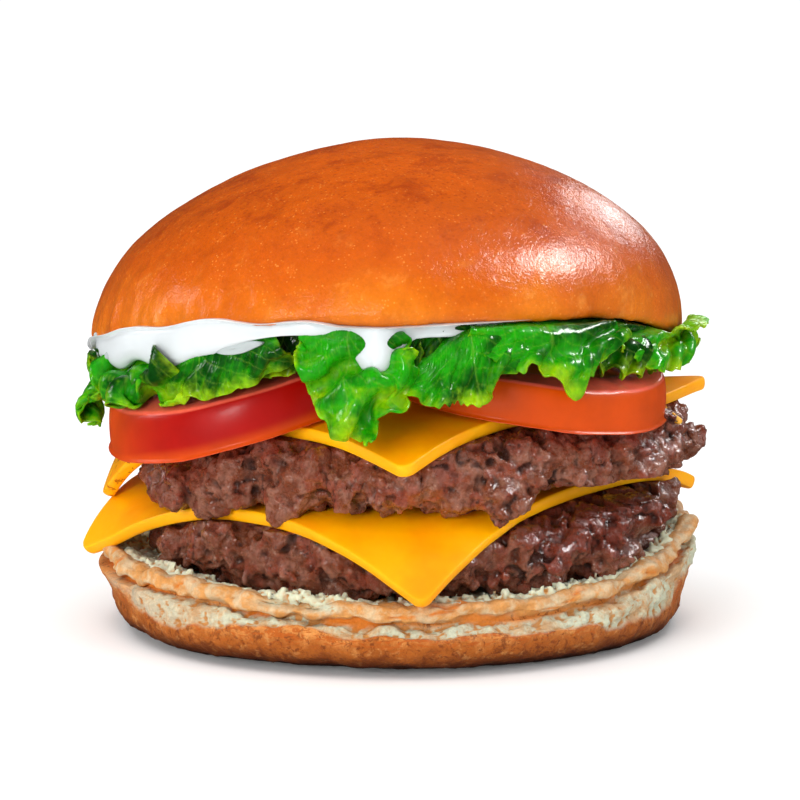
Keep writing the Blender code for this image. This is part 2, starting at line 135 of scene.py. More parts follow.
# White sauce. A drip is an azimuth and a width in degrees, and how far it hangs in millimetres.
SAUCE_THICKNESS = 1.4 * MM
DRIPS = (
    (-168, 7, 2.6), (-151, 6, 2.8), (-135, 10, 4.6), (-122, 8, 1.6), (-93, 5, 7), (-80, 6, 1), (-62, 5, 0.8),
)
DRIP_WIDTH = 5.5 * MM


# --- shapes of the layers ---


def curved(a, b, c, d, t):
    """Between b and c, on the smooth curve that passes through all four."""
    return b + 0.5 * t * (c - a + t * (2 * a - 5 * b + 4 * c - d + t * (3 * (b - c) + d - a)))


def all_round(count):
    """Equal steps of azimuth from east."""
    return np.arange(count) * 2 * math.pi / count


def out_at(r, azimuth, centre=(0, 0)):
    return centre[0] + r * np.cos(azimuth), centre[1] + r * np.sin(azimuth)


def points_at(r, azimuth, z):
    return np.stack([*out_at(r, azimuth), z], axis=-1)


def around(azimuth, values):
    """A smooth closed curve through values at equal steps of azimuth."""
    count = len(values)
    step = (np.asarray(azimuth) / (2 * math.pi) % 1) * count
    first = np.floor(step).astype(int)
    t = step - first
    a, b, c, d = (values[(first + k) % count] for k in (-1, 0, 1, 2))
    return curved(a, b, c, d, t)


def across(share, values):
    """A smooth open curve through values at equal steps of share, from nought to one."""
    values = np.asarray(values, float)
    last = len(values) - 1
    step = np.clip(np.asarray(share, float), 0, 1) * last
    first = np.minimum(np.floor(step).astype(int), last - 1)
    t = (step - first).reshape(step.shape + (1,) * (values.ndim - 1))
    a, b, c, d = (values[np.clip(first + k, 0, last)] for k in (-1, 0, 1, 2))
    return curved(a, b, c, d, t)


def uneven(azimuth, seed, size):
    """A wavy closed line of about that size, the same for the same seed."""
    dice = random.Random(seed)
    total = 0
    for waves in (2, 3, 5, 7, 11):
        total = total + np.cos(waves * azimuth + dice.uniform(0, 2 * math.pi)) / math.sqrt(waves)
    return size * total / 2


def hinge(x, softness):
    """Nought where x is well below nought, x where it is well above, and smooth between."""
    return (x + np.sqrt(x * x + softness * softness)) / 2


def smoothstep(x):
    x = np.clip(x, 0, 1)
    return x * x * (3 - 2 * x)


def polar(x, y):
    return np.hypot(x, y), np.arctan2(y, x)


def seat(x, y):
    """The heel's cut face."""
    return SEAT_HEIGHT + SEAT_TILT * x + 0 * y


def drop(x, y, slopes, starts):
    """How far a layer has fallen where it passes the start radius, with its own slope at each azimuth."""
    r, azimuth = polar(x, y)
    return around(azimuth, slopes) * hinge(r - around(azimuth, starts), FALL_SOFTNESS)


def near_azimuth(azimuth, middle, width):
    """One at the middle azimuth, falling to nought a few widths away."""
    turn = (azimuth - middle + math.pi) % (2 * math.pi) - math.pi
    return np.exp(-((turn / width) ** 2))


def near_degrees(azimuth, middle, width):
    return near_azimuth(azimuth, math.radians(middle), math.radians(width))


def lifted(x, y, middle, width, start, slope):
    """How far a layer rises at one side."""
    r, azimuth = polar(x, y)
    return slope * hinge(r - start, FALL_SOFTNESS) * near_azimuth(azimuth, middle, width)


def lower_flat(x, y):
    """The lower patty's top, before its edge falls away."""
    dome = LOWER_BED_HEIGHT + LOWER_BED_TILT * x - LOWER_BED_DOME * (x * x + y * y)
    return dome + lifted(x, y, *LOWER_LIFT)


def upper_flat(x, y):
    """The upper patty's top: domed, tilted, and lifted at its thick east end."""
    dome = UPPER_BED_HEIGHT + UPPER_BED_TILT * x - UPPER_BED_DOME * (x * x + y * y)
    return dome + lifted(x, y, *UPPER_LIFT) - drop(x, y, UPPER_SAG, UPPER_SAG_START)


def lower_bed(x, y):
    """The underside of the lower cheese slice: it droops where it passes the patty's edge."""
    return lower_flat(x, y) - drop(x, y, LOWER_FALL, LOWER_FALL_START)


def upper_bed(x, y):
    return upper_flat(x, y) - drop(x, y, UPPER_FALL, UPPER_FALL_START)


def outside_slice(x, y, centre, side, turn):
    """How far a point is outside a square slice, less than nought inside it."""
    u = (x - centre[0]) * math.cos(turn) + (y - centre[1]) * math.sin(turn)
    v = (y - centre[1]) * math.cos(turn) - (x - centre[0]) * math.sin(turn)
    return (np.abs(u) + np.abs(v)) / math.sqrt(2) - side / 2


def beside_slice(x, y, place):
    """From nought under a square slice to one well outside its edge."""
    return smoothstep((outside_slice(x, y, *place) - 3 * MM) / (5 * MM))


def tomato_floor(x, y):
    return upper_flat(x, y) + SLICE_THICKNESS + 2 * GAP


def crown_seat(x, y):
    """The crown's cut face, which bends down at its east and west sides."""
    r, azimuth = polar(x, y)
    share = np.minimum(r / around(azimuth, CROWN_RADIUS), 1) ** 2
    return CROWN_SEAT_HEIGHT + (around(azimuth, CROWN_RIM_HEIGHT) - CROWN_SEAT_HEIGHT) * share


def crown_underside(x, y):
    """The crown's underside as it has settled: its edge sags past the flat cut."""
    r, azimuth = polar(x, y)
    near_edge = smoothstep((r - around(azimuth, CROWN_RADIUS)) / SKIRT_WIDTH + 1.1)
    return crown_seat(x, y) - around(azimuth, SKIRT) * near_edge


def drip_length(azimuth):
    return sum(length * MM * near_degrees(azimuth, middle, width) for middle, width, length in DRIPS)


def laid_along(bed, centre, length, azimuth, steps=40):
    """Where a point ends that walks that length over the bed, from centre towards azimuth."""
    east, north = np.cos(azimuth), np.sin(azimuth)
    r = np.zeros_like(length)
    for _ in range(steps):
        x, y = centre[0] + r * east, centre[1] + r * north
        slope = (bed(x + PROBE * east, y + PROBE * north) - bed(x, y)) / PROBE
        r = r + length / steps / np.sqrt(1 + slope * slope)
    x, y = centre[0] + r * east, centre[1] + r * north
    return x, y, bed(x, y)


# --- roughness and relief ---


def lumps(points, size, seed=0):
    """Smooth noise between -1 and 1 with lumps of about that size, one value a point."""
    p = points / size + 17.3 * seed
    cell = np.floor(p)
    t = p - cell
    t = t * t * (3 - 2 * t)
    total = 0
    for corner in itertools.product((0, 1), repeat=3):
        chance = np.sin((cell + corner) @ np.array((127.1, 311.7, 74.7))) * 43758.5453
        weight = np.prod(np.where(corner, t, 1 - t), axis=-1)
        total = total + weight * (2 * (chance - np.floor(chance)) - 1)
    return total


def rough(points, size, octaves=4, seed=0):
    """Noise with ever finer lumps on its lumps."""
    total, weight = 0, 1
    for octave in range(octaves):
        total = total + weight * lumps(points, size / 2**octave, seed + octave)
        weight = weight / 2
    return total


def ridged(points, size, octaves=3, seed=0):
    """Noise from nought to about one, with sharp crests."""
    total, weight, most = 0, 1, 0
    for octave in range(octaves):
        total = total + weight * (1 - np.abs(lumps(points, size / 2**octave, seed + octave)) * 2)
        most = most + weight
        weight = weight / 2
    return np.clip(total / most, 0, 1)


def places(mesh):
    spots = np.empty(len(mesh.vertices) * 3, np.float32)
    mesh.vertices.foreach_get("co", spots)
    return spots.reshape(-1, 3).astype(float)


def facing(mesh):
    normals = np.empty(len(mesh.vertices) * 3, np.float32)
    mesh.vertices.foreach_get("normal", normals)
    return normals.reshape(-1, 3).astype(float)


def put(mesh, spots):
    mesh.vertices.foreach_set("co", spots.astype(np.float32).ravel())
    mesh.update()


def push_out(mesh, heights):
    """Moves every vertex along its normal."""
    put(mesh, places(mesh) + facing(mesh) * np.asarray(heights)[:, None])


def neighbour_mean(mesh, values, rounds=1):
    """Averages a row of vertex values with its neighbours'."""
    edges = np.empty(len(mesh.edges) * 2, np.int64)
    mesh.edges.foreach_get("vertices", edges)
    a, b = edges[0::2], edges[1::2]
    count = np.bincount(edges, minlength=len(mesh.vertices))
    values = np.asarray(values, float)
    for _ in range(rounds):
        total = np.zeros_like(values)
        np.add.at(total, a, values[b])
        np.add.at(total, b, values[a])
        share = count if values.ndim == 1 else count[:, None]
        values = 0.5 * values + 0.5 * total / np.maximum(share, 1)
    return values


def hollows(mesh, size, rounds):
    """One in a hollow, nought on a crest and a half where it is flat."""
    spots, normals = places(mesh), facing(mesh)
    sunk = np.einsum("ij,ij->i", neighbour_mean(mesh, spots, rounds) - spots, normals)
    return np.clip(0.5 + sunk / size, 0, 1)


# --- meshes ---


def keep_values(mesh, **rows):
    """Stores rows of vertex values as attributes that the materials read."""
    for name, values in rows.items():
        made = mesh.attributes.get(name) or mesh.attributes.new(name, "FLOAT", "POINT")
        made.data.foreach_set("value", np.asarray(values, np.float32).ravel())


def azimuth_of(spots):
    return np.arctan2(spots[:, 1], spots[:, 0])


def mesh_from(bm, name):
    """The mesh of a bmesh that is finished with."""
    mesh = bpy.data.meshes.new(name)
    bm.to_mesh(mesh)
    bm.free()
    return mesh


def in_scene(name, data):
    made = bpy.data.objects.new(name, data)
    bpy.context.scene.collection.objects.link(made)
    return made


def add_piece(name, mesh, finish):
    """A smooth piece with one finish, in place."""
    mesh.shade_smooth()
    mesh.materials.clear()
    mesh.materials.append(finish)
    return in_scene(name, mesh)


def closed_skin(name, rings):
    """A closed mesh from rings of points, bottom to top, with a point in the middle of the first and last."""
    rows, points = rings.shape[:2]
    spots = np.vstack([rings.reshape(-1, 3), rings[0].mean(0), rings[-1].mean(0)])
    k = np.arange(points)
    nxt = (k + 1) % points
    low = np.arange(rows - 1)[:, None] * points
    quads = np.stack([low + k, low + nxt, low + points + nxt, low + points + k], axis=-1).reshape(-1, 4)
    bottom = np.stack([np.full(points, rows * points), nxt, k], axis=-1)
    last = (rows - 1) * points
    top = np.stack([np.full(points, rows * points + 1), last + k, last + nxt], axis=-1)
    mesh = bpy.data.meshes.new(name)
    mesh.from_pydata(spots.tolist(), [], quads.tolist() + bottom.tolist() + top.tolist())
    mesh.update()
    return mesh


def with_caps(values):
    """A value a ring point, and those of the two middle points."""
    return np.concatenate([values.ravel(), [values[0].mean(), values[-1].mean()]])


def made_plain(piece):
    """Turns what the modifiers make into the piece's own mesh."""
    graph = bpy.context.evaluated_depsgraph_get()
    made = bpy.data.meshes.new_from_object(piece.evaluated_get(graph), depsgraph=graph)
    piece.modifiers.clear()
    piece.data = made
    made.shade_smooth()
    return made


def ride(piece, slot, *nodes):
    """Every piece moves with the one body. It stands for its solids, which are hidden."""
    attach(piece, "root")
    if nodes:
        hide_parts(*nodes)


# --- geometry node trees ---


def node_maker(tree):
    """A function that adds a node to the tree, with values or links for its inputs, and returns it."""

    def node(kind, inputs=None, **settings):
        made = tree.nodes.new(kind)
        for key, value in settings.items():
            setattr(made, key, value)
        for key, value in (inputs or {}).items():
            if isinstance(value, bpy.types.NodeSocket):
                tree.links.new(value, made.inputs[key])
            else:
                made.inputs[key].default_value = value
        return made

    return node


def new_tree(name, **numbers):
    """A geometry tree with the surface and named numbers as inputs."""
    tree = bpy.data.node_groups.new(name, "GeometryNodeTree")
    tree.interface.new_socket("Surface", in_out="INPUT", socket_type="NodeSocketGeometry")
    for key, value in numbers.items():
        kind = "NodeSocketInt" if isinstance(value, int) else "NodeSocketFloat"
        tree.interface.new_socket(key, in_out="INPUT", socket_type=kind).default_value = value
    tree.interface.new_socket("Made", in_out="OUTPUT", socket_type="NodeSocketGeometry")
    return tree, node_maker(tree)


def grown_on(piece, tree, **numbers):
    """Runs a tree on a piece, with its inputs set by the sockets' identifiers."""
    modifier = piece.modifiers.new(tree.name, "NODES")
    modifier.node_group = tree
    for item in tree.interface.items_tree:
        if item.in_out == "INPUT" and item.name in numbers:
            modifier[item.identifier] = numbers[item.name]


def grain_tree(name, finish):
    """Uneven grains scattered over a surface as densely as its attribute grain_density says."""
    tree, node = new_tree(name, Density=1.0, Smallest=1.0, Largest=2.0, Length=1.0, Flatness=0.8, Seed=1)
    number = node("NodeGroupInput").outputs
    weight = node("GeometryNodeInputNamedAttribute", {"Name": "grain_density"}, data_type="FLOAT")
    weighed = {0: weight.outputs["Attribute"], 1: number["Density"]}
    density = node("ShaderNodeMath", weighed, operation="MULTIPLY")
    spread = node(
        "GeometryNodeDistributePointsOnFaces",
        {"Mesh": number["Surface"], "Density": density.outputs[0], "Seed": number["Seed"]},
        distribute_method="RANDOM",
    )
    ball = node("GeometryNodeMeshIcoSphere", {"Radius": 1.0, "Subdivisions": 3})
    bumps = node("ShaderNodeTexNoise", {"Scale": 1.3, "Detail": 2.0})
    centred = {0: bumps.outputs["Color"], 1: (0.5, 0.5, 0.5)}
    knobbly = node("ShaderNodeVectorMath", centred, operation="SUBTRACT")
    offset = node("ShaderNodeVectorMath", {0: knobbly.outputs[0], "Scale": 1.5}, operation="SCALE")
    grain = node("GeometryNodeSetPosition", {"Geometry": ball.outputs["Mesh"], "Offset": offset.outputs[0]})
    size = node(
        "FunctionNodeRandomValue",
        {2: number["Smallest"], 3: number["Largest"], "Seed": number["Seed"]},
        data_type="FLOAT",
    )
    thin = node("ShaderNodeMath", {0: size.outputs[1], 1: number["Flatness"]}, operation="MULTIPLY")
    long = node("ShaderNodeMath", {0: size.outputs[1], 1: number["Length"]}, operation="MULTIPLY")
    scale = node("ShaderNodeCombineXYZ", {"X": long.outputs[0], "Y": size.outputs[1], "Z": thin.outputs[0]})
    turn = node(
        "FunctionNodeRandomValue",
        {1: (2 * math.pi,) * 3, "Seed": number["Seed"]},
        data_type="FLOAT_VECTOR",
    )
    placed = node(
        "GeometryNodeInstanceOnPoints",
        {
            "Points": spread.outputs["Points"],
            "Instance": grain.outputs["Geometry"],
            "Rotation": turn.outputs[0],
            "Scale": scale.outputs[0],
        },
    )
    real = node("GeometryNodeRealizeInstances", {"Geometry": placed.outputs[0]})
    join = node("GeometryNodeJoinGeometry")
    tree.links.new(real.outputs[0], join.inputs[0])
    tree.links.new(number["Surface"], join.inputs[0])
    dressed = node("GeometryNodeSetMaterial", {"Geometry": join.outputs[0], "Material": finish})
    node("NodeGroupOutput", {"Made": dressed.outputs[0]})
    return tree


def voxel_remesh(piece, size):
    """Welds what overlaps into one skin."""
    remesh = piece.modifiers.new("Weld", "REMESH")
    remesh.mode = "VOXEL"
    remesh.voxel_size = size
    remesh.adaptivity = 0


# --- finishes ---


def ink(red, green, blue):
    """A colour given as it shows on a screen, 0 to 255, as the linear values that Blender keeps."""
    shares = (value / 255 for value in (red, green, blue))
    return tuple(s / 12.92 if s <= 0.04045 else ((s + 0.055) / 1.055) ** 2.4 for s in shares)


class Finish:
    """A material in the making: short names for the nodes that it is made of."""

    def __init__(self, name):
        self.material = bpy.data.materials.new(name)
        self.material.use_nodes = True
        self.tree = self.material.node_tree
        self.shader = self.tree.nodes["Principled BSDF"]
        self.node = node_maker(self.tree)
        self.place = self.node("ShaderNodeTexCoord").outputs["Object"]

    def value(self, name):
        return self.node("ShaderNodeAttribute", attribute_name=name).outputs["Fac"]

    def noise(self, size, detail=4, roughness=0.55, distortion=0, stretch=None):
        """Noise with lumps of about that size."""
        vector = self.place
        if stretch:
            vector = self.node("ShaderNodeMapping", {"Vector": vector, "Scale": stretch}).outputs[0]
        inputs = {"Vector": vector, "Scale": 1 / size, "Detail": detail}
        inputs.update({"Roughness": roughness, "Distortion": distortion})
        return self.node("ShaderNodeTexNoise", inputs).outputs["Fac"]

    def cells(self, size, feature="F1"):
        inputs = {"Vector": self.place, "Scale": 1 / size}
        return self.node("ShaderNodeTexVoronoi", inputs, feature=feature).outputs["Distance"]

    def maths(self, operation, a, b):
        return self.node("ShaderNodeMath", {0: a, 1: b}, operation=operation).outputs[0]

    def times(self, a, b):
        return self.maths("MULTIPLY", a, b)

    def wander(self, value, noise, size):
        """A value moved up and down by noise."""
        return self.maths("ADD", value, self.times(self.maths("SUBTRACT", noise, 0.5), size))

    def span(self, value, low, high, first, last, kind="LINEAR"):
        """A number that runs from first to last as value runs from low to high."""
        inputs = {"Value": value, "From Min": low, "From Max": high, "To Min": first, "To Max": last}
        return self.node("ShaderNodeMapRange", inputs, interpolation_type=kind).outputs["Result"]

    def step(self, value, low, high):
        """Nought below low, one above high, smooth between."""
        return self.span(value, low, high, 0.0, 1.0, "SMOOTHSTEP")

    def mix(self, share, a, b):
        """From the first colour to the second as share runs from nought to one."""
        made = self.tree.nodes.new("ShaderNodeMix")
        made.data_type = "RGBA"
        for socket, value in ((made.inputs[0], share), (made.inputs[6], a), (made.inputs[7], b)):
            if isinstance(value, bpy.types.NodeSocket):
                self.tree.links.new(value, socket)
            elif isinstance(value, float):
                socket.default_value = value
            else:
                socket.default_value = (*value, 1)
        return made.outputs[2]

    def over(self, colour, other, where, share):
        """The colour with another laid over it where a number says, at most by that share."""
        return self.mix(self.times(where, share), colour, other)

    def shaded(self, colour, share, low, high):
        """The colour made darker or lighter as share runs from nought to one."""
        grey = self.span(share, 0, 1, low, high)
        made = self.node("ShaderNodeVectorMath", {0: colour, "Scale": grey}, operation="SCALE")
        return made.outputs[0]

    def relief(self, *layers, film=None):
        """Bumps from (height, depth in metres, strength) layers, the coarsest first.

        A wet film smooths over all but its first few layers.
        """
        normal = None
        for number, (height, depth, strength) in enumerate(layers):
            if number == film:
                self.tree.links.new(normal, self.shader.inputs["Coat Normal"])
            inputs = {"Height": height, "Distance": depth, "Strength": strength}
            if normal:
                inputs["Normal"] = normal
            normal = self.node("ShaderNodeBump", inputs).outputs[0]
        self.tree.links.new(normal, self.shader.inputs["Normal"])
        if film is None:
            self.tree.links.new(normal, self.shader.inputs["Coat Normal"])

    def done(self, colour, roughness, **steady):
        """Links the colour and the roughness, and sets the steady values on the shader itself."""
        self.tree.links.new(colour, self.shader.inputs["Base Color"])
        if isinstance(roughness, bpy.types.NodeSocket):
            self.tree.links.new(roughness, self.shader.inputs["Roughness"])
        else:
            self.shader.inputs["Roughness"].default_value = roughness
        for name, value in steady.items():
            self.shader.inputs[name.replace("_", " ")].default_value = value
        return self.material


def through(weight, scale, *radius):
    """How light goes through a food: how much of it, how far, and the shares of red, green and blue."""
    return {"Subsurface_Weight": weight, "Subsurface_Scale": scale, "Subsurface_Radius": radius}


def tint(name, description, *colour):
    return FloatVectorProperty(
        name=name, description=description, subtype="COLOR", size=3, min=0, max=1, default=ink(*colour)
    )


def size_of(name, description, value):
    return FloatProperty(name=name, description=description, default=value, min=0, unit="LENGTH", precision=5)


def amount_of(name, description, value):
    return FloatProperty(name=name, description=description, default=value, min=0)


def share_of(name, description, value):
    return FloatProperty(name=name, description=description, default=value, min=0, max=1, subtype="FACTOR")


class BurgerBread(bpy.types.PropertyGroup):
    """The bun's crusts and crumb."""

    golden: tint("Golden crust", "Crown crust near its lower edge", 222, 120, 12)
    baked: tint("Baked crust", "Crown crust over most of the dome", 190, 80, 0)
    dark: tint("Dark crust", "Darkest patches near the top", 150, 50, 0)
    speck: tint("Specks", "Fine pale specks in the crown crust", 244, 166, 74)
    heel_gold: tint("Heel gold", "Upper part of the heel's crust", 208, 134, 66)
    heel_brown: tint("Heel brown", "Lower part of the heel's crust", 168, 90, 24)
    heel_dark: tint("Heel dark", "Baked spots and cracks in the heel's crust", 112, 48, 8)
    lip: tint("Lip", "Smooth folded lip at the heel's cut edge", 208, 146, 80)
    crumb: tint("Crumb", "Inside of the bread", 212, 214, 186)
    crease: tint("Crease", "Orange line in the folds of the crust", 214, 122, 36)
    crack: tint("Cracks", "Cracks along the top of the heel's crust", 176, 84, 16)
    gloss: share_of("Egg wash", "How strong the crown's clear coat is", 0.7)
    tuft_height: size_of("Tuft height", "How far the torn crumb stands up", 2 * MM)


class BurgerBeef(bpy.types.PropertyGroup):
    """The two patties."""

    mauve: tint("Cooked side", "Grey-mauve cooked mince", 142, 90, 70)
    brown: tint("Brown", "Browned grains", 118, 58, 34)
    red: tint("Reddish", "Redder grains", 148, 60, 40)
    seared: tint("Seared", "Dark seared crust", 116, 46, 30)
    # Used both for the real char specks and for the painted shade in the gaps between grains.
    char_and_gap_shade: tint("Pits", "Deep gaps between grains", 36, 16, 12)
    fat: tint("Fat", "Pale bits of fat", 196, 160, 140)
    smallest_grain: size_of("Smallest grain", "Radius of the finest grains of mince", 0.55 * MM)
    largest_grain: size_of("Largest grain", "Radius of the coarse grains of mince", 1.7 * MM)
    clump: size_of("Clump", "Radius of the biggest clumps", 4.4 * MM)
    weld: size_of("Weld", "Size of the voxels that weld the grains into one skin", 0.5 * MM)
    seed: IntProperty(name="Seed", description="Another number gives other grains", default=4, min=0)


class BurgerCheese(bpy.types.PropertyGroup):
    """The two slices."""

    body: tint("Cheese", "Flat of the slice", 255, 170, 0)
    edge: tint("Edge", "Cut edge of the slice", 255, 196, 30)
    deep: tint("Deep", "Patches of a deeper colour", 252, 150, 0)
    char: tint("Char", "Burnt specks on the hanging corner", 120, 44, 4)
    melt: tint("Melt", "Melted cheese on the beef", 250, 196, 92)
    thickness: size_of("Thickness", "Thickness of a slice", SLICE_THICKNESS)
    edge_round: size_of("Edge round", "How far in the edge is rounded", 0.5 * MM)


class BurgerTomato(bpy.types.PropertyGroup):
    """The three slices."""

    skin: tint("Ripe skin", "Skin of the left and back slices", 160, 5, 0)
    orange: tint("Orange skin", "Skin of the right slice and the lit edge of the others", 202, 70, 0)
    flesh: tint("Flesh", "Wall of the fruit at the cut face", 226, 92, 70)
    gel: tint("Gel", "Seed chambers", 214, 104, 30)


class BurgerLettuce(bpy.types.PropertyGroup):
    """The torn leaves."""

    bright: tint("Leaf", "Most of a leaf", 26, 142, 4)
    dark: tint("Shaded leaf", "Folds and inner leaves", 2, 60, 2)
    margin: tint("Margin", "Yellow-green edge of a leaf", 156, 190, 2)
    vein: tint("Vein", "Ribs of a leaf", 150, 196, 60)
    thickness: size_of("Thickness", "Thickness of a leaf", 0.45 * MM)


class BurgerSauce(bpy.types.PropertyGroup):
    """White sauce under the crown and on the leaves."""

    cream: tint("Sauce", "Colour of the sauce", 212, 217, 219)
    # A darker copy of the sauce colour for the streaks: painted shade.
    thin: tint("Thin sauce", "Colour of the streaks on the leaves", 176, 184, 184)
    thickness: size_of("Thickness", "Thickness of the layer", SAUCE_THICKNESS)


class BurgerStage(bpy.types.PropertyGroup):
    """Floor, lights and camera."""

    floor: tint("Floor", "Plain floor", 252, 252, 252)
    floor_glow: amount_of("Floor glow", "Light that the floor gives itself", 0.04)
    overhead: amount_of("Overhead light", "Strength of the light from above", 2.25)
    side_power: amount_of("Side fill", "Watts of the fill at the right", 1.1)
    front_power: amount_of("Front fill", "Watts of the fill in front", 4.3)
    gloss_power: amount_of("Gloss boxes", "Watts of the boxes that give shine", 12.0)
    camera_distance: size_of("Camera distance", "From the camera to the burger's middle", 0.5)
    camera_height: FloatProperty(
        name="Camera angle",
        description="How far above the horizon the camera stands",
        default=math.radians(7),
        subtype="ANGLE",
    )


GROUPS = (BurgerBread, BurgerBeef, BurgerCheese, BurgerTomato, BurgerLettuce, BurgerSauce, BurgerStage)


# --- bread ---


def lofted(controls, counts):
    """Rows between rows: a smooth curve through the controls, with so many steps in each stretch."""
    controls = np.asarray(controls, float)
    last = len(controls) - 1
    steps = np.concatenate([k + np.arange(n) / n for k, n in enumerate(counts)] + [[last]])
    return across(steps / last, controls), steps


CROWN_POINTS = 400
CROWN_ROWS = 112
CUT_FACE_INSETS = mm(50, 38, 28, 20, 14, 9, 7, 5.5, 4)
LIP_INSET = 2.6 * MM
LIP_ROWS = 8


def crown_rings():
    """The crown's surface with the share of its height, and where its cut face is."""
    azimuth = all_round(CROWN_POINTS)
    edge = around(azimuth, CROWN_RADIUS) + uneven(azimuth, "crown", CROWN_UNEVENNESS)
    low = around(azimuth, CROWN_RIM_HEIGHT) + CROWN_LIP
    rings, rise, inner = [], [], []
    for inset in CUT_FACE_INSETS:
        x, y = out_at(edge - inset, azimuth)
        rings.append(np.stack([x, y, crown_underside(x, y)], axis=-1))
        rise.append(0)
        inner.append(smoothstep((inset - 4.5 * MM) / (2 * MM)))
    for angle in np.radians(np.linspace(-90, 0, LIP_ROWS, endpoint=False)):
        r = edge - LIP_INSET * (1 - math.cos(angle))
        x, y = out_at(r, azimuth)
        lip = CROWN_LIP + around(azimuth, SKIRT)
        rings.append(np.stack([x, y, crown_underside(x, y) + lip * (1 + math.sin(angle))], axis=-1))
        rise.append(0)
        inner.append(0)
    for angle in np.radians(np.linspace(0, 89.6, CROWN_ROWS)):
        lean = math.sin(angle)
        width = math.cos(angle) ** CROWN_FULLNESS
        x = edge * width * np.cos(azimuth) + CROWN_LEAN[0] * lean
        y = edge * width * np.sin(azimuth) + CROWN_LEAN[1] * lean
        rings.append(np.stack([x, y, low + (CROWN_TOP_HEIGHT - low) * math.sin(angle)], axis=-1))
        rise.append(lean)
        inner.append(0)
    ones = np.ones(CROWN_POINTS)
    return np.array(rings), np.outer(rise, ones), np.outer(inner, ones)


def crown_finish(bread):
    """Egg-washed crust: mottled golden brown, darker on top, finely crackled and flecked with pale specks,
    with painted light on its highest part.
    """
    f = Finish("crown_crust")
    rise, inner = f.value("rise"), f.value("inner")
    patches = f.noise(15 * MM, 6, 0.62, 0.3)
    grain = f.noise(0.8 * MM, 4, 0.7)
    pores = f.noise(3 * MM, 5, 0.68, 0.2)
    height = f.wander(rise, patches, 0.8)
    colour = f.mix(f.step(height, -0.35, 0.4), bread.golden, bread.baked)
    blotch = f.step(f.noise(8 * MM, 7, 0.7, 0.5), 0.47, 0.68)
    spots = f.times(blotch, f.step(height, 0.15, 0.6))
    colour = f.over(colour, bread.dark, spots, 0.7)
    light = f.times(f.step(f.noise(5 * MM, 6, 0.7, 0.4), 0.54, 0.72), f.step(height, 0.75, 0.1))
    colour = f.over(colour, bread.speck, light, 0.25)
    colour = f.shaded(colour, f.times(f.maths("ADD", grain, pores), 0.5), 0.6, 1.36)
    pinholes = f.times(f.step(f.cells(1.1 * MM), 0.34, 0.14), f.step(height, 0.2, 0.7))
    colour = f.over(colour, bread.dark, pinholes, 0.55)
    specks = f.step(f.cells(0.8 * MM), 0.3, 0.12)
    specks = f.times(specks, f.step(f.noise(3 * MM, 4, 0.7), 0.46, 0.62))
    colour = f.over(colour, bread.speck, specks, 0.4)
    # Painted light: the highest part of the dome is made up to a third lighter.
    colour = f.shaded(colour, f.step(rise, 0.55, 1.0), 1.0, 1.3)
    crumb = f.shaded(f.mix(0.3, bread.crumb, bread.lip), pores, 0.8, 1.1)
    colour = f.mix(inner, colour, crumb)
    gloss = f.span(f.noise(9 * MM, 5, 0.65), 0.3, 0.7, 0.42, 0.62)
    crackle = f.step(f.cells(0.85 * MM, "DISTANCE_TO_EDGE"), 0.0, 0.22)
    f.relief(
        (f.noise(3.4 * MM, 4, 0.62), 0.3 * MM, 0.6),
        (crackle, 0.03 * MM, 0.6),
        (f.noise(1.5 * MM, 5, 0.7, 0.5), 0.2 * MM, 0.6),
        (f.noise(0.7 * MM, 4, 0.7), 0.12 * MM, 0.8),
        film=3,
    )
    return f.done(
        colour,
        gloss,
        Coat_Weight=bread.gloss,
        Coat_Roughness=0.2,
        Specular_IOR_Level=0.06,
        **through(0.04, 1.2 * MM, 1.0, 0.35, 0.05),
    )


def build_crown(bread):
    rings, rise, inner = crown_rings()
    mesh = closed_skin("crown", rings)
    rise, inner = with_caps(rise), with_caps(inner)
    spots = places(mesh)
    crust = 1 - inner
    relief = 0.4 * MM * lumps(spots, 24 * MM) + 0.13 * MM * lumps(spots, 8 * MM, 2)
    relief = relief + 0.05 * MM * rough(spots, 3 * MM, 3, 5)
    upright = spots * (1, 1, 0.22)
    above = spots[:, 2] - crown_underside(spots[:, 0], spots[:, 1])
    folds = np.exp(-((above / (9 * MM)) ** 2)) * crust
    turn = azimuth_of(spots)
    folds = folds * (0.7 + 0.9 * near_degrees(turn, -140, 40))
    wrinkles = 0.6 * MM * lumps(upright, 5.5 * MM, 7) + 0.36 * MM * lumps(upright, 2.2 * MM, 9)
    relief = relief + folds * wrinkles
    push_out(mesh, relief * (0.3 + 0.7 * crust))
    keep_values(mesh, rise=rise, inner=inner)
    piece = add_piece("crown_bun", mesh, crown_finish(bread))
    ride(piece, "crown_crust", "bun_crown")


HEEL_POINTS = 520
HEEL_STEPS = (2, 6, 12, 14, 16, 10, 8, 7, 8, 6, 6, 3)
HEEL_MIDDLE = 12 * MM
CRUST_END = 4.5
TORN_END = 6.0
LIP_END = 9.0


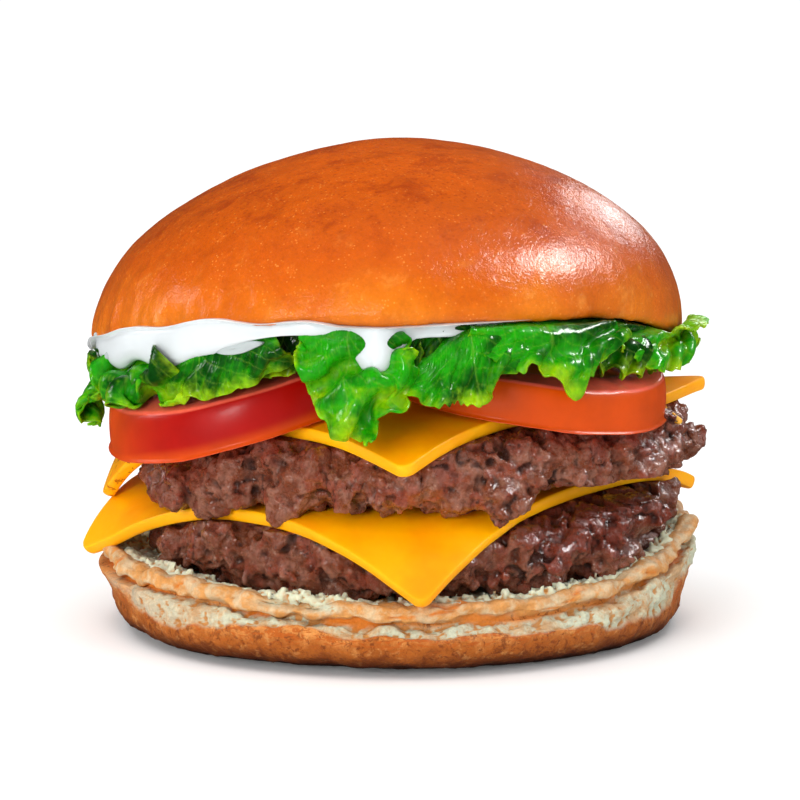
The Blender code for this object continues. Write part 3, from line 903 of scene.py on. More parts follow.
def heel_rings():
    """The heel's surface with the level of each point: the number of the control row that it is at."""
    azimuth = all_round(HEEL_POINTS)
    foot, bulge = around(azimuth, HEEL_FOOT_RADIUS), around(azimuth, HEEL_RADIUS)
    bulge_height = around(azimuth, HEEL_BULGE_HEIGHT)
    rim, rim_height = around(azimuth, HEEL_RIM_RADIUS), around(azimuth, HEEL_RIM_HEIGHT)
    inner = around(azimuth, SEAT_RADIUS)
    level = seat(*out_at(inner, azimuth))
    nought = 0 * azimuth
    radii = [
        nought + HEEL_MIDDLE,
        foot - 2.4 * MM,
        foot + 0.5 * (bulge - foot),
        foot + 0.87 * (bulge - foot),
        bulge,
        rim + 1.6 * MM,
        rim - 1.1 * MM,
        rim + 0.6 * MM,
        rim,
        rim - 2.6 * MM,
        inner + 2 * MM,
        inner,
        nought + HEEL_MIDDLE,
    ]
    heights = [
        nought,
        nought,
        0.16 * bulge_height,
        0.5 * bulge_height,
        bulge_height,
        rim_height - 4.2 * MM,
        rim_height - 3.4 * MM,
        rim_height - 2.2 * MM,
        rim_height - 0.3 * MM,
        rim_height - 0.2 * MM,
        level + 0.35 * (rim_height - level),
        level,
        level,
    ]
    radius, steps = lofted(radii, HEEL_STEPS)
    height, _ = lofted(heights, HEEL_STEPS)
    wave = uneven(azimuth, "heel", 0.4 * MM) * smoothstep(radius / (50 * MM))
    radius, height = radius + wave, np.maximum(height, 0)
    rings = points_at(radius, azimuth, height)
    return rings, np.outer(steps, np.ones(HEEL_POINTS))


def heel_finish(bread):
    """Golden-brown crust with baked cracks, a white torn band, a wrinkled tan lip and pale crumb, with
    painted shade in the hollows of the torn crumb and towards the bottom.
    """
    f = Finish("heel_crust")
    level, torn, dust, crease = f.value("level"), f.value("torn"), f.value("crumbly"), f.value("crease")
    hollow = f.value("hollow")
    fine = f.noise(0.8 * MM, 5, 0.72)
    coarse = f.noise(4.5 * MM, 6, 0.68, 0.3)
    baked = f.wander(level, coarse, 3.2)
    colour = f.mix(f.step(baked, 2.2, 3.7), bread.heel_dark, bread.heel_brown)
    colour = f.mix(f.step(baked, 3.5, 4.8), colour, bread.heel_gold)
    scorch = f.step(f.noise(1.7 * MM, 6, 0.76, 0.7), 0.5, 0.6)
    colour = f.over(colour, bread.heel_dark, scorch, 0.8)
    pale = f.step(f.noise(2.4 * MM, 5, 0.66, 0.3), 0.54, 0.68)
    colour = f.mix(f.times(f.times(pale, 0.6), f.step(level, 1.8, 3.6)), colour, bread.lip)
    edge = f.times(f.step(level, 3.2, 4.0), f.step(level, 5.1, 4.6))
    cracks = f.step(f.noise(3.0 * MM, 6, 0.66, 1.4, stretch=(1, 1, 3)), 0.5, 0.56)
    colour = f.over(colour, bread.crack, f.times(cracks, edge), 0.85)
    lip = f.mix(f.step(f.noise(3.5 * MM, 5, 0.66, 0.4), 0.4, 0.62), bread.lip, bread.crumb)
    lip = f.shaded(f.mix(0.45, bread.lip, lip), f.noise(1.6 * MM, 5, 0.7), 0.66, 1.3)
    colour = f.mix(f.step(level, 6.05, 6.5), colour, lip)
    # Random stains, and painted shade where the torn crumb lies in a hollow.
    stain_and_hollow_shade = f.times(f.step(f.noise(8 * MM, 5, 0.68, 0.3), 0.44, 0.6), 0.7)
    stain_and_hollow_shade = f.maths("MAXIMUM", stain_and_hollow_shade, f.step(hollow, 0.5, 0.85))
    white = f.mix(stain_and_hollow_shade, bread.crumb, bread.lip)
    white = f.shaded(white, fine, 0.5, 1.16)
    colour = f.mix(torn, colour, white)
    colour = f.over(colour, bread.crease, crease, 0.9)
    colour = f.mix(dust, colour, white)
    colour = f.shaded(colour, f.noise(0.5 * MM, 4, 0.7), 0.72, 1.26)
    # Painted shade: the crust is made much darker towards the bottom, where it sits near the floor.
    colour = f.shaded(colour, f.step(level, 1.5, 3.5), 0.22, 1.0)
    f.relief(
        (f.noise(1.6 * MM, 5, 0.7), 0.45 * MM, 0.8),
        (f.noise(0.5 * MM, 3, 0.65), 0.2 * MM, 0.8),
    )
    return f.done(
        colour,
        0.62,
        **through(0.08, 1.2 * MM, 1.0, 0.6, 0.3),
        Specular_IOR_Level=0.25,
    )


def build_heel(bread):
    rings, level = heel_rings()
    mesh = closed_skin("heel", rings)
    level = with_caps(level)
    spots = places(mesh)
    turn = azimuth_of(spots)
    wedge = near_degrees(turn, -138, 12) + 0.95 * near_degrees(turn, -30, 26)
    wander = level + 0.5 * rough(spots * (1, 1, 0.5), 8 * MM, 5, 3)
    torn = smoothstep((wander + 0.9 * wedge - CRUST_END) / 0.25) * smoothstep((TORN_END + 0.1 - wander) / 0.2)
    torn = torn * (1 - near_degrees(turn, 180, 34))
    crumbly = smoothstep((wander - LIP_END + 0.2) / 0.5)
    crust = smoothstep((CRUST_END - wander) / 0.4) * smoothstep(level - 1)
    lip = smoothstep((level - TORN_END) / 0.4) * (1 - crumbly)
    folds = ridged(spots * (1, 1, 2.4), 11 * MM, 3, 14)
    crease = smoothstep((folds - 0.8) / 0.1) * lip
    groove = smoothstep((level - 5.5) / 0.4) * smoothstep((6.7 - level) / 0.4)
    groove = groove * smoothstep((lumps(spots, 10 * MM, 15) + 0.1) / 0.3)
    relief = crust * (0.26 * MM * rough(spots, 2.6 * MM, 4, 1) + 0.4 * MM * lumps(spots, 11 * MM, 4))
    relief = relief + torn * (0.9 * MM * rough(spots, 2.2 * MM, 4, 6) - 0.5 * MM)
    broken = smoothstep((lumps(spots * (1, 1, 2), 9 * MM, 21) - 0.25) / 0.3) * smoothstep((level - 7) / 0.8)
    lip_relief = 1.3 * MM * rough(spots * (1, 1, 2), 6 * MM, 5, 8) - 0.5 * MM * crease - 1.1 * MM * broken
    relief = relief + lip * (lip_relief + 0.5 * MM * broken * rough(spots, 1.6 * MM, 3, 22))
    crumbly = np.maximum(crumbly, broken)
    relief = relief + crumbly * 0.6 * MM * rough(spots, 2 * MM, 4, 12)
    push_out(mesh, relief)
    spots = places(mesh)
    flap = near_degrees(turn, -7, 5) * smoothstep((level - 6.6) / 0.8)
    flap = flap * smoothstep((10 - level) / 1.2)
    spots[:, :2] *= 1 + 0.03 * flap[:, None]
    spots[:, 2] += 1.6 * MM * flap
    spots[:, 2] = np.maximum(spots[:, 2], 0)
    put(mesh, spots)
    # The hollows tell the finish where to paint shade into the torn crumb.
    sunk = hollows(mesh, 0.4 * MM, 4)
    keep_values(mesh, level=level, torn=torn, crumbly=crumbly, crease=np.maximum(crease, groove), hollow=sunk)
    piece = add_piece("heel_bun", mesh, heel_finish(bread))
    ride(piece, "heel_crust", "bun_heel")


def crumb_finish(bread):
    """Soft pale crumb, with painted shade in its pores."""
    f = Finish("crumb")
    pore = f.value("hollow")
    # Painted shade: the crumb takes the lip's darker colour in its hollows and pores.
    colour = f.mix(f.step(pore, 0.4, 0.8), bread.crumb, bread.lip)
    colour = f.shaded(colour, f.noise(0.7 * MM, 3, 0.6), 0.82, 1.12)
    f.relief((f.noise(0.5 * MM, 3, 0.6), 0.15 * MM, 0.7))
    return f.done(
        colour,
        0.75,
        **through(0.3, 1.2 * MM, 1.0, 0.8, 0.5),
        Specular_IOR_Level=0.2,
    )


CRUMB_POINTS = 240
TUFT_DENSITY = 9e5
CRUMB_WELD = 0.42 * MM


def build_crumb(bread):
    """Torn tufts of crumb all along the heel's cut edge."""
    azimuth = all_round(CRUMB_POINTS)
    rim, rim_height = around(azimuth, HEEL_RIM_RADIUS), around(azimuth, HEEL_RIM_HEIGHT)
    inner = around(azimuth, SEAT_RADIUS)
    level = seat(*out_at(inner, azimuth))
    profile = [
        (inner - 1.5 * MM, level - 1.6 * MM),
        (rim - 2.4 * MM, rim_height - 1.6 * MM),
        (rim - 1.9 * MM, rim_height - 0.5 * MM),
        (rim - 3 * MM, rim_height + 0.2 * MM),
        (inner + 1.2 * MM, level + 0.5 * (rim_height - level)),
        (inner - 1.5 * MM, level - 0.3 * MM),
    ]
    bm = bmesh.new()
    loops = []
    for radius, height in profile:
        loops.append([bm.verts.new(p) for p in zip(*out_at(radius, azimuth), height)])
    for low, high in zip(loops, loops[1:] + loops[:1]):
        for k in range(len(low)):
            nxt = (k + 1) % len(low)
            bm.faces.new((low[k], low[nxt], high[nxt], high[k]))
    bmesh.ops.recalc_face_normals(bm, faces=bm.faces)
    mesh = mesh_from(bm, "crumb")
    spots = places(mesh)
    tufts = np.clip(1.3 * lumps(spots, 8 * MM, 31) + 0.8 * lumps(spots, 3 * MM, 5) + 0.3, 0.05, 1.4)
    up = np.clip(facing(mesh)[:, 2], 0, 1)
    keep_values(mesh, grain_density=up * tufts**2)
    finish = crumb_finish(bread)
    piece = add_piece("heel_crumb", mesh, finish)
    tree = grain_tree("Tufts", finish)
    height = bread.tuft_height
    flakes = {"Smallest": 0.18 * height, "Largest": 0.52 * height, "Length": 1.8, "Flatness": 0.4}
    grown_on(piece, tree, Density=TUFT_DENSITY, Seed=7, **flakes)
    voxel_remesh(piece, CRUMB_WELD)
    mesh = made_plain(piece)
    spots = places(mesh)
    pores = smoothstep((ridged(spots, 2.6 * MM, 2, 9) - 0.7) / 0.2)
    fluff = 0.5 * MM * rough(spots, 1.8 * MM, 3, 4) + 0.3 * MM * rough(spots, 0.8 * MM, 2, 6)
    push_out(mesh, fluff - 0.8 * MM * pores)
    # The hollows and pores tell the finish where to paint shade.
    hollow = np.clip(hollows(mesh, 0.6 * MM, 4) + 0.3 * pores, 0, 1)
    keep_values(mesh, hollow=neighbour_mean(mesh, hollow))
    ride(piece, "heel_crust")


# --- beef ---


PATTY_POINTS = 240
PATTY_PROFILE = (
    (0.2, 0, 0),
    (0.6, 0, 0),
    (0.93, 0, 0),
    (1, 0.12, 0.3),
    (1, 0.38, 0.8),
    (1, 0.66, 1),
    (0.985, 0.86, 1),
    (0.95, 0.97, 1),
    (0.87, 1, 1),
    (0.7, 1, 1),
    (0.4, 1, 1),
    (0.2, 1, 1),
)
PATTY_STEPS = (2, 6, 5, 5, 6, 5, 4, 4, 6, 4, 2)
PLAIN_RADIUS = 41 * MM
GRAIN_DENSITY, CLUMP_DENSITY = 1.7e5, 6.5e3
PATTY_FACES = 180000
Patty = namedtuple("Patty", "centre outline foot floor flat bed slice_place")


def slopes(bed, x, y):
    """How steeply a bed rises towards east and towards north."""
    level = bed(x, y)
    return (bed(x + PROBE, y) - level) / PROBE, (bed(x, y + PROBE) - level) / PROBE


def slice_top(bed, x, y):
    """Above a slice that lies on the bed, allowing for its slope."""
    east, north = slopes(bed, x, y)
    return bed(x, y) + SLICE_THICKNESS * np.sqrt(1 + east * east + north * north)


def lower_floor(x, y):
    return seat(x, y) + GAP


def upper_floor(x, y):
    """The upper patty rests on the lower slice, and hangs down a little where the slice falls away."""
    fall = lower_flat(x, y) - lower_bed(x, y)
    return lower_flat(x, y) + SLICE_THICKNESS + 2 * GAP - fall / (1 + fall / SETTLE_LIMIT)


def patty_rings(patty, name):
    azimuth = all_round(PATTY_POINTS)
    rows, _ = lofted(PATTY_PROFILE, PATTY_STEPS)
    share, height, width = (rows[:, k : k + 1] for k in range(3))
    outline, foot = around(azimuth, patty.outline), around(azimuth, patty.foot)
    edge = foot + np.clip(width, 0, 1) * (outline - foot)
    r = share * (edge + uneven(azimuth, name, 1.3 * MM) * share**4 - 1.1 * MM)
    x, y = out_at(r, azimuth, patty.centre)
    low = patty.floor(x, y)
    clear = 1.6 * GAP + 0.15 * np.abs(patty.flat(x, y) - patty.bed(x, y))
    high = patty.bed(x, y) - clear + (SLICE_THICKNESS - GAP) * beside_slice(x, y, patty.slice_place)
    z = low + np.clip(height, 0, 1) * (high - low)
    return np.stack([x, y, z], axis=-1), np.outer(share[:, 0], np.ones(PATTY_POINTS))


def beef_finish(beef):
    """Moist mince: mauve and brown grains, painted shade in the gaps, seared patches, bits of pale fat and
    wet glints.
    """
    f = Finish("beef")
    hollow, sear = f.value("hollow"), f.value("sear")
    grains = f.noise(2.6 * MM, 5, 0.66, 0.3)
    fine = f.noise(0.6 * MM, 5, 0.72)
    strands = f.noise(1.4 * MM, 5, 0.65, 1.4)
    colour = f.mix(f.step(grains, 0.42, 0.58), beef.mauve, beef.brown)
    colour = f.over(colour, beef.red, f.step(f.noise(4.5 * MM, 4), 0.5, 0.62), 0.45)
    colour = f.over(colour, beef.seared, sear, 0.9)
    fat = f.times(f.step(f.noise(1.8 * MM, 4, 0.6, 0.8), 0.62, 0.7), f.maths("SUBTRACT", 1.0, sear))
    colour = f.over(colour, beef.fat, fat, 0.4)
    # Lighter on the crests and darker in the hollows of the strand bumps: painted light and shade, with
    # random tone from the fine noise.
    colour = f.shaded(colour, f.times(f.maths("ADD", fine, strands), 0.5), 0.12, 1.9)
    charred = f.maths("MAXIMUM", f.step(f.noise(9 * MM, 3), 0.46, 0.6), sear)
    char = f.times(f.step(f.noise(1.1 * MM, 5, 0.7), 0.54, 0.64), charred)
    colour = f.over(colour, beef.char_and_gap_shade, char, 0.8)
    # Painted shade in the gaps between grains.
    colour = f.over(colour, beef.char_and_gap_shade, f.step(hollow, 0.5, 0.92), 0.85)
    wet = f.span(f.noise(1.6 * MM, 4, 0.65), 0.4, 0.62, 0.16, 0.55)
    f.relief(
        (f.noise(1.3 * MM, 3, 0.6), 0.35 * MM, 0.8),
        (strands, 0.45 * MM, 0.8),
        (f.noise(0.7 * MM, 4, 0.7), 0.3 * MM, 0.9),
        (f.noise(0.3 * MM, 2, 0.6), 0.12 * MM, 0.8),
        film=1,
    )
    return f.done(
        colour,
        wet,
        Coat_Weight=0.7,
        Coat_Roughness=0.1,
        **through(0.05, 0.8 * MM, 1.0, 0.35, 0.2),
    )


def seared_right(turn, depth):
    """The lower patty is seared dark at the top of its front right side."""
    side = near_degrees(turn, -42, 26)
    return 1.7 * side * (1 - 0.8 * depth) - 0.1


def seared_top(turn, depth):
    """The upper patty is only browned where it is highest."""
    return 0.5 - 1.6 * depth + 0 * turn


def build_patty(beef, name, patty, finish, seared_side, seed):
    """Grains and clumps of mince welded on a core, then pressed between the layers."""
    rings, share = patty_rings(patty, name)
    mesh = closed_skin(name, rings)
    share = with_caps(share)
    spots = places(mesh)
    push_out(mesh, smoothstep((share - 0.8) / 0.15) * (1.2 * MM * lumps(spots, 13 * MM, seed) - 1.8 * MM))
    keep_values(mesh, grain_density=smoothstep((share - 0.82) / 0.08))
    piece = add_piece(name + "_mince", mesh, finish)
    grains = grain_tree("Grains", finish)
    small, large = beef.smallest_grain, beef.largest_grain
    strands = {"Smallest": small, "Largest": large, "Length": 1.7, "Flatness": 0.7}
    clumps = {"Smallest": 0.5 * beef.clump, "Largest": beef.clump, "Length": 1.2}
    grown_on(piece, grains, Density=GRAIN_DENSITY, Seed=beef.seed + seed, **strands)
    grown_on(piece, grains, Density=CLUMP_DENSITY, Seed=seed, **clumps)
    voxel_remesh(piece, beef.weld)
    mesh = made_plain(piece)
    spots = places(mesh)
    outer = smoothstep((np.hypot(spots[:, 0] - patty.centre[0], spots[:, 1]) - 38 * MM) / (5 * MM))
    warped = spots + 1.6 * MM * np.stack([lumps(spots, 4 * MM, seed + k) for k in (20, 21, 22)], axis=-1)
    pits = smoothstep((ridged(warped, 5.5 * MM, 1, seed) - 0.8) / 0.2)
    pits = pits * smoothstep((lumps(spots, 6 * MM, seed + 9) + 0.25) / 0.4)
    torn_bits = 0.8 * MM * rough(warped, 3 * MM, 2, seed) + 0.4 * MM * rough(spots, 1.5 * MM, 2, seed + 5)
    push_out(mesh, outer * (torn_bits - 0.5 * MM * pits))
    press(mesh, patty)
    spots = places(mesh)
    push_out(mesh, outer * 0.3 * MM * rough(spots, 1.6 * MM, 3, seed + 11))
    spots = places(mesh)
    # The hollows and pits tell the finish where to paint shade.
    hollow = np.clip(hollows(mesh, 0.9 * MM, 6) + 0.35 * pits, 0, 1)
    turn = azimuth_of(spots)
    flat = np.abs(facing(mesh)[:, 2])
    bed = patty.bed(spots[:, 0], spots[:, 1])
    depth = (bed - spots[:, 2]) / (10 * MM)
    sear = seared_side(turn, depth) + 0.5 * rough(spots, 5 * MM, 3, seed + 3)
    sear = np.maximum(smoothstep(sear), smoothstep((flat - 0.8) / 0.2) * 0.5)
    keep_values(mesh, hollow=neighbour_mean(mesh, hollow), sear=sear)
    thin_out(piece, np.hypot(spots[:, 0], spots[:, 1]) < PLAIN_RADIUS, PATTY_FACES)
    ride(piece, "beef", name)


def thin_out(piece, plain, faces):
    """Leaves fewer faces where it is plain, down to that many in all."""
    group = piece.vertex_groups.new(name="plain")
    group.add(np.nonzero(plain)[0].tolist(), 1, "REPLACE")
    fewer = piece.modifiers.new("Fewer", "DECIMATE")
    fewer.vertex_group = group.name
    triangles = sum(len(face.vertices) - 2 for face in piece.data.polygons)
    fewer.ratio = min(1, faces / triangles)
    made_plain(piece)
    piece.vertex_groups.clear()


def press(mesh, patty):
    """Keeps the mince below the slice on it and above what it lies on."""
    spots = places(mesh)
    x, y, z = spots.T
    turn = np.arctan2(y, x)
    tucked = np.minimum(1.6 * near_degrees(turn, -36, 30), 1)
    room = 3 * MM + 6 * MM * near_degrees(turn, 0, 24)
    if patty.floor is upper_floor:
        ground = slice_top(lower_bed, x, y) + 0.1 * MM + tucked * (lower_flat(x, y) - lower_bed(x, y))
        hanging = 5 * MM - 6 * MM * tucked
        ground = ground - hanging * smoothstep(outside_slice(x, y, *LOWER_SLICE) / (2 * MM))
    else:
        room = room * (1 - tucked)
        ground = seat(x, y) + 0.1 * MM
    beyond = smoothstep(outside_slice(x, y, *patty.slice_place) / (6 * MM))
    ceiling = patty.bed(x, y) - 0.2 * MM + room * beyond
    spots[:, 2] = np.maximum(np.minimum(z, ceiling), ground)
    put(mesh, spots)


# --- cheese ---


SLICE_RAYS = 560
SLICE_INNER = (0.1, 0.3, 0.45, 0.55, 0.62)
SLICE_ROWS = 34
EDGE_STEPS = (1, 0.72, 0.46, 0.26, 0.12, 0.03)


def slice_reach(azimuth, half):
    """From the middle of a square with rounded corners to its edge."""
    c, s = np.abs(np.cos(azimuth)), np.abs(np.sin(azimuth))
    straight = half / np.maximum(c, s)
    inner = half - SLICE_CORNER
    along = (c + s) * inner
    curved = along + np.sqrt(np.maximum(along * along - 2 * inner * inner + SLICE_CORNER * SLICE_CORNER, 0))
    return np.where(np.minimum(c, s) * straight > inner, curved, straight)


def cheese_finish(cheese):
    """Even, slightly glossy processed cheese: a little light goes through it, and its cut edge is paler."""
    f = Finish("cheese")
    edge, charred = f.value("edge"), f.value("charred")
    colour = f.mix(f.step(f.noise(16 * MM, 3, 0.5), 0.4, 0.7), cheese.body, cheese.deep)
    colour = f.over(colour, cheese.edge, edge, 0.2)
    colour = f.shaded(colour, f.noise(1.6 * MM, 3, 0.6), 0.95, 1.05)
    specks = f.times(f.step(f.noise(2.2 * MM, 5, 0.7, 0.4), 0.53, 0.6), charred)
    colour = f.over(colour, cheese.char, specks, 0.9)
    gloss = f.span(f.noise(6 * MM, 3, 0.6), 0.35, 0.65, 0.28, 0.42)
    f.relief((f.noise(5 * MM, 2), 0.12 * MM, 0.4), (f.noise(0.9 * MM, 2), 0.03 * MM, 0.5))
    return f.done(
        colour,
        gloss,
        **through(0.25, 2.2 * MM, 1.0, 0.45, 0.05),
        Specular_IOR_Level=0.22,
    )


def melt_finish(cheese):
    """Cheese that has melted and run: pale and oily."""
    f = Finish("melted_cheese")
    colour = f.mix(f.step(f.noise(2 * MM, 4, 0.6), 0.35, 0.65), cheese.body, cheese.melt)
    f.relief((f.noise(1.4 * MM, 4, 0.65), 0.3 * MM, 0.8))
    oily = {"Coat_Weight": 0.4, "Coat_Roughness": 0.08}
    return f.done(colour, 0.3, Subsurface_Weight=0.15, Subsurface_Scale=1 * MM, **oily)


def build_slice(cheese, name, place, run, bed, finish, seed):
    """A square slice that keeps its own length along each ray as it lies over its bed."""
    centre, side, turn = place
    azimuth = all_round(SLICE_RAYS)
    reach = slice_reach(azimuth, side / 2)
    ring = np.stack([np.cos(azimuth), np.sin(azimuth), 0 * azimuth], axis=-1) * reach[:, None]
    reach = reach + 0.14 * MM * lumps(ring, 5 * MM, seed)
    world = azimuth + turn + math.pi / 4
    reach = reach * (1 + run[2] * near_azimuth(world, run[0], run[1]))
    rounding = cheese.edge_round
    shares = list(SLICE_INNER) + list(np.linspace(0.65, 0.985, SLICE_ROWS))
    lengths = np.array([share * reach for share in shares])
    lengths = np.minimum(lengths, reach - 1.15 * rounding)
    rims = np.array([reach - rounding * step for step in EDGE_STEPS] + [reach])
    lengths = np.vstack([lengths, rims])
    inset = np.clip((reach - lengths) / rounding, 0, 1)
    x, y, z = laid_along(bed, centre, lengths, np.broadcast_to(world, lengths.shape))
    east, north = slopes(bed, x, y)
    normal = np.stack([-east, -north, np.ones_like(z)], axis=-1)
    normal = normal / np.linalg.norm(normal, axis=-1, keepdims=True)
    flat = np.stack([x, y, z], axis=-1)
    flat = flat + normal * (0.16 * MM * lumps(flat, 10 * MM, seed) - 0.03 * MM)[..., None]
    half = cheese.thickness / 2
    bulge = half * np.sqrt(1 - (1 - inset) ** 2)
    middle = flat + normal * half
    under = middle - normal * bulge[..., None]
    over = middle + normal * bulge[..., None]
    mesh = closed_skin(name, np.concatenate([under, over[-2::-1]]))
    near_edge = smoothstep(1.2 - (reach - lengths) / (1.1 * MM))
    keep_values(mesh, edge=with_caps(np.concatenate([near_edge, near_edge[-2::-1]])))
    spots = places(mesh)
    corner = near_degrees(azimuth_of(spots), 190, 16)
    hangs = smoothstep((-48 * MM - spots[:, 0]) / (4 * MM)) * corner
    keep_values(mesh, charred=hangs * (name == "cheese_upper"))
    piece = add_piece(name + "_slice", mesh, finish)
    ride(piece, "cheese", name)


# --- tomato ---


TOMATO_TURNS = 260
TOMATO_PROFILE = (
    (0.1, 0),
    (0.5, 0),
    (0.965, 0),
    (0.99, 0.1),
    (1, 0.5),
    (0.992, 0.86),
    (0.965, 0.995),
    (0.9, 1),
    (0.5, 1),
    (0.1, 1),
)
TOMATO_STEPS = (2, 10, 5, 9, 9, 7, 6, 12, 4)
SKIN_FROM, SKIN_TO = 2.2, 5.7
CHAMBERS = 7


def tomato_finish(tomato, name, skin):
    """Glossy skin, a salmon wall at the cut face and seed chambers further in."""
    f = Finish(name)
    is_skin, chamber, lit = f.value("skin"), f.value("chamber"), f.value("lit")
    side = f.mix(f.times(lit, 0.85), skin, tomato.orange)
    side = f.shaded(side, f.noise(7 * MM, 4, 0.6), 0.72, 1.2)
    flesh = f.mix(chamber, tomato.flesh, tomato.gel)
    flesh = f.shaded(flesh, f.noise(1.4 * MM, 4, 0.65), 0.78, 1.22)
    colour = f.mix(is_skin, flesh, side)
    gloss = f.span(is_skin, 0, 1, 0.34, 0.42)
    f.relief((f.noise(1.8 * MM, 3, 0.55), 0.05 * MM, 0.4), (f.noise(0.5 * MM, 2), 0.02 * MM, 0.5))
    return f.done(
        colour,
        gloss,
        **through(0.1, 1.8 * MM, 1.0, 0.2, 0.03),
        Specular_IOR_Level=0.1,
        Coat_Weight=0.3,
        Coat_Roughness=0.24,
    )


def build_tomato(name, finish, lit_to):
    """A disc with a bulging skin that follows the surface it lies on."""
    cx, cy, radius, thickness = TOMATOES[name]
    azimuth = all_round(TOMATO_TURNS)
    rows, steps = lofted(TOMATO_PROFILE, TOMATO_STEPS)
    share, height = rows[:, :1], np.clip(rows[:, 1:], 0, 1)
    r = share * (radius + uneven(azimuth, name, 0.5 * MM))
    x, y = out_at(r, azimuth, (cx, cy))
    z = tomato_floor(x, y) + height * thickness
    lobes = 0.5 + 0.5 * np.cos(CHAMBERS * azimuth + 2 * np.sin(azimuth))
    inside = smoothstep((share - 0.2) / 0.1) * smoothstep((0.76 - share) / 0.08)
    chamber = smoothstep((lobes - 0.35) / 0.25) * inside
    z = z + chamber * 0.5 * MM * np.where(height > 0.5, -1, 1)
    rings = np.stack([x, y, z], axis=-1)
    rim = smoothstep((steps - SKIN_FROM) / 0.3) * smoothstep((SKIN_TO - steps) / 0.3)
    mesh = closed_skin(name, rings)
    spots = places(mesh)
    cut = 1 - with_caps(np.outer(rim, np.ones(TOMATO_TURNS)))
    push_out(mesh, cut * 0.1 * MM * rough(spots, 3 * MM, 3, 2) + 0.06 * MM * lumps(spots, 9 * MM, 3))
    low = smoothstep((lit_to - height * np.ones_like(azimuth)) / 0.3)
    west_end = near_degrees(azimuth, 196, 24)
    lit = with_caps(np.maximum(low, west_end) * np.ones_like(height))
    keep_values(mesh, skin=1 - cut, chamber=with_caps(chamber), lit=lit)
    piece = add_piece(name + "_slice", mesh, finish)
    ride(piece, "tomato", name)


# --- sauce ---


SAUCE_TURNS = 420
SAUCE_BACK = mm(5, 6, 6, 6, 5, 6, 6, 6, 3.8, 0.4, 0.1, 1.0, 2.2, 3.4, 6, 5.5)
SQUEEZED = np.array([0, 0, 0, 0, 0, 0, 0, 0, -0.4, 1, 1, 0.9, -0.5, 0, 0, 0])
SAUCE_STEPS = (3, 8, 10, 6, 6, 7, 7, 5, 3)


def cream_finish(name, cream):
    """Smooth, glossy, slightly translucent sauce."""
    f = Finish(name)
    colour = f.shaded(f.mix(0.0, cream, cream), f.noise(5 * MM, 2), 0.94, 1.04)
    f.relief((f.noise(4 * MM, 2), 0.08 * MM, 0.3))
    return f.done(
        colour,
        0.22,
        **through(0.3, 1.6 * MM, 1.0, 0.95, 0.9),
        Coat_Weight=0.4,
        Coat_Roughness=0.06,
    )


def build_sauce(sauce, finish):
    """A layer that clings under the crown, with lobes and drips where it is squeezed out."""
    azimuth = all_round(SAUCE_TURNS)
    edge = around(azimuth, CROWN_RADIUS) + uneven(azimuth, "crown", CROWN_UNEVENNESS)
    squeeze = np.maximum(around(azimuth, SQUEEZED), 0)
    drip = drip_length(azimuth) * (1 + 0.12 * np.sin(23 * azimuth))
    outer = edge - around(azimuth, SAUCE_BACK) + 3.2 * MM * near_degrees(azimuth, -92, 4)
    swell = squeeze * (1 + 0.5 * np.sin(9 * azimuth + 1) * np.sin(4 * azimuth) + 0.35 * np.sin(17 * azimuth))
    thick = sauce.thickness
    profile = [
        (0.3 * outer, -thick + 0 * azimuth),
        (outer - DRIP_WIDTH - 8 * MM, -thick + 0 * azimuth),
        (outer - DRIP_WIDTH, -thick + 0 * azimuth),
        (outer - 3 * MM, -thick - 0.9 * drip),
        (outer - 1 * MM, -thick - drip),
        (outer + 0.4 * MM * squeeze, -thick - 0.62 * drip),
        (outer + 1.1 * MM * swell, -0.4 * thick - 0.2 * drip),
        (outer + 1.3 * MM * swell - 0.2 * MM, (0.2 + 1.2 * swell) * MM),
        (np.minimum(edge - 1.6 * MM, outer), 0.5 * MM + 1.5 * MM * swell),
        (0.3 * outer, 0.25 * MM + 0 * azimuth),
    ]
    radius, _ = lofted([row[0] for row in profile], SAUCE_STEPS)
    height, _ = lofted([row[1] for row in profile], SAUCE_STEPS)
    x, y = out_at(radius, azimuth)
    rings = np.stack([x, y, crown_underside(x, y) + height], axis=-1)
    mesh = closed_skin("sauce", rings)
    push_out(mesh, 0.1 * MM * lumps(places(mesh), 6 * MM, 3))
    piece = add_piece("sauce_layer", mesh, finish)
    ride(piece, "sauce", "white_sauce")


# --- lettuce ---


Leaf = namedtuple("Leaf", "crest margin belly growth lumps teeth tone seed")
LEAF_ACROSS = 92
LEAF_ALONG = 30
LEAF_FINER = 2
ROOT_RADIUS = 36 * MM
LEAF_ROOM = 0.5 * MM
FOLD_ROUNDS = 160
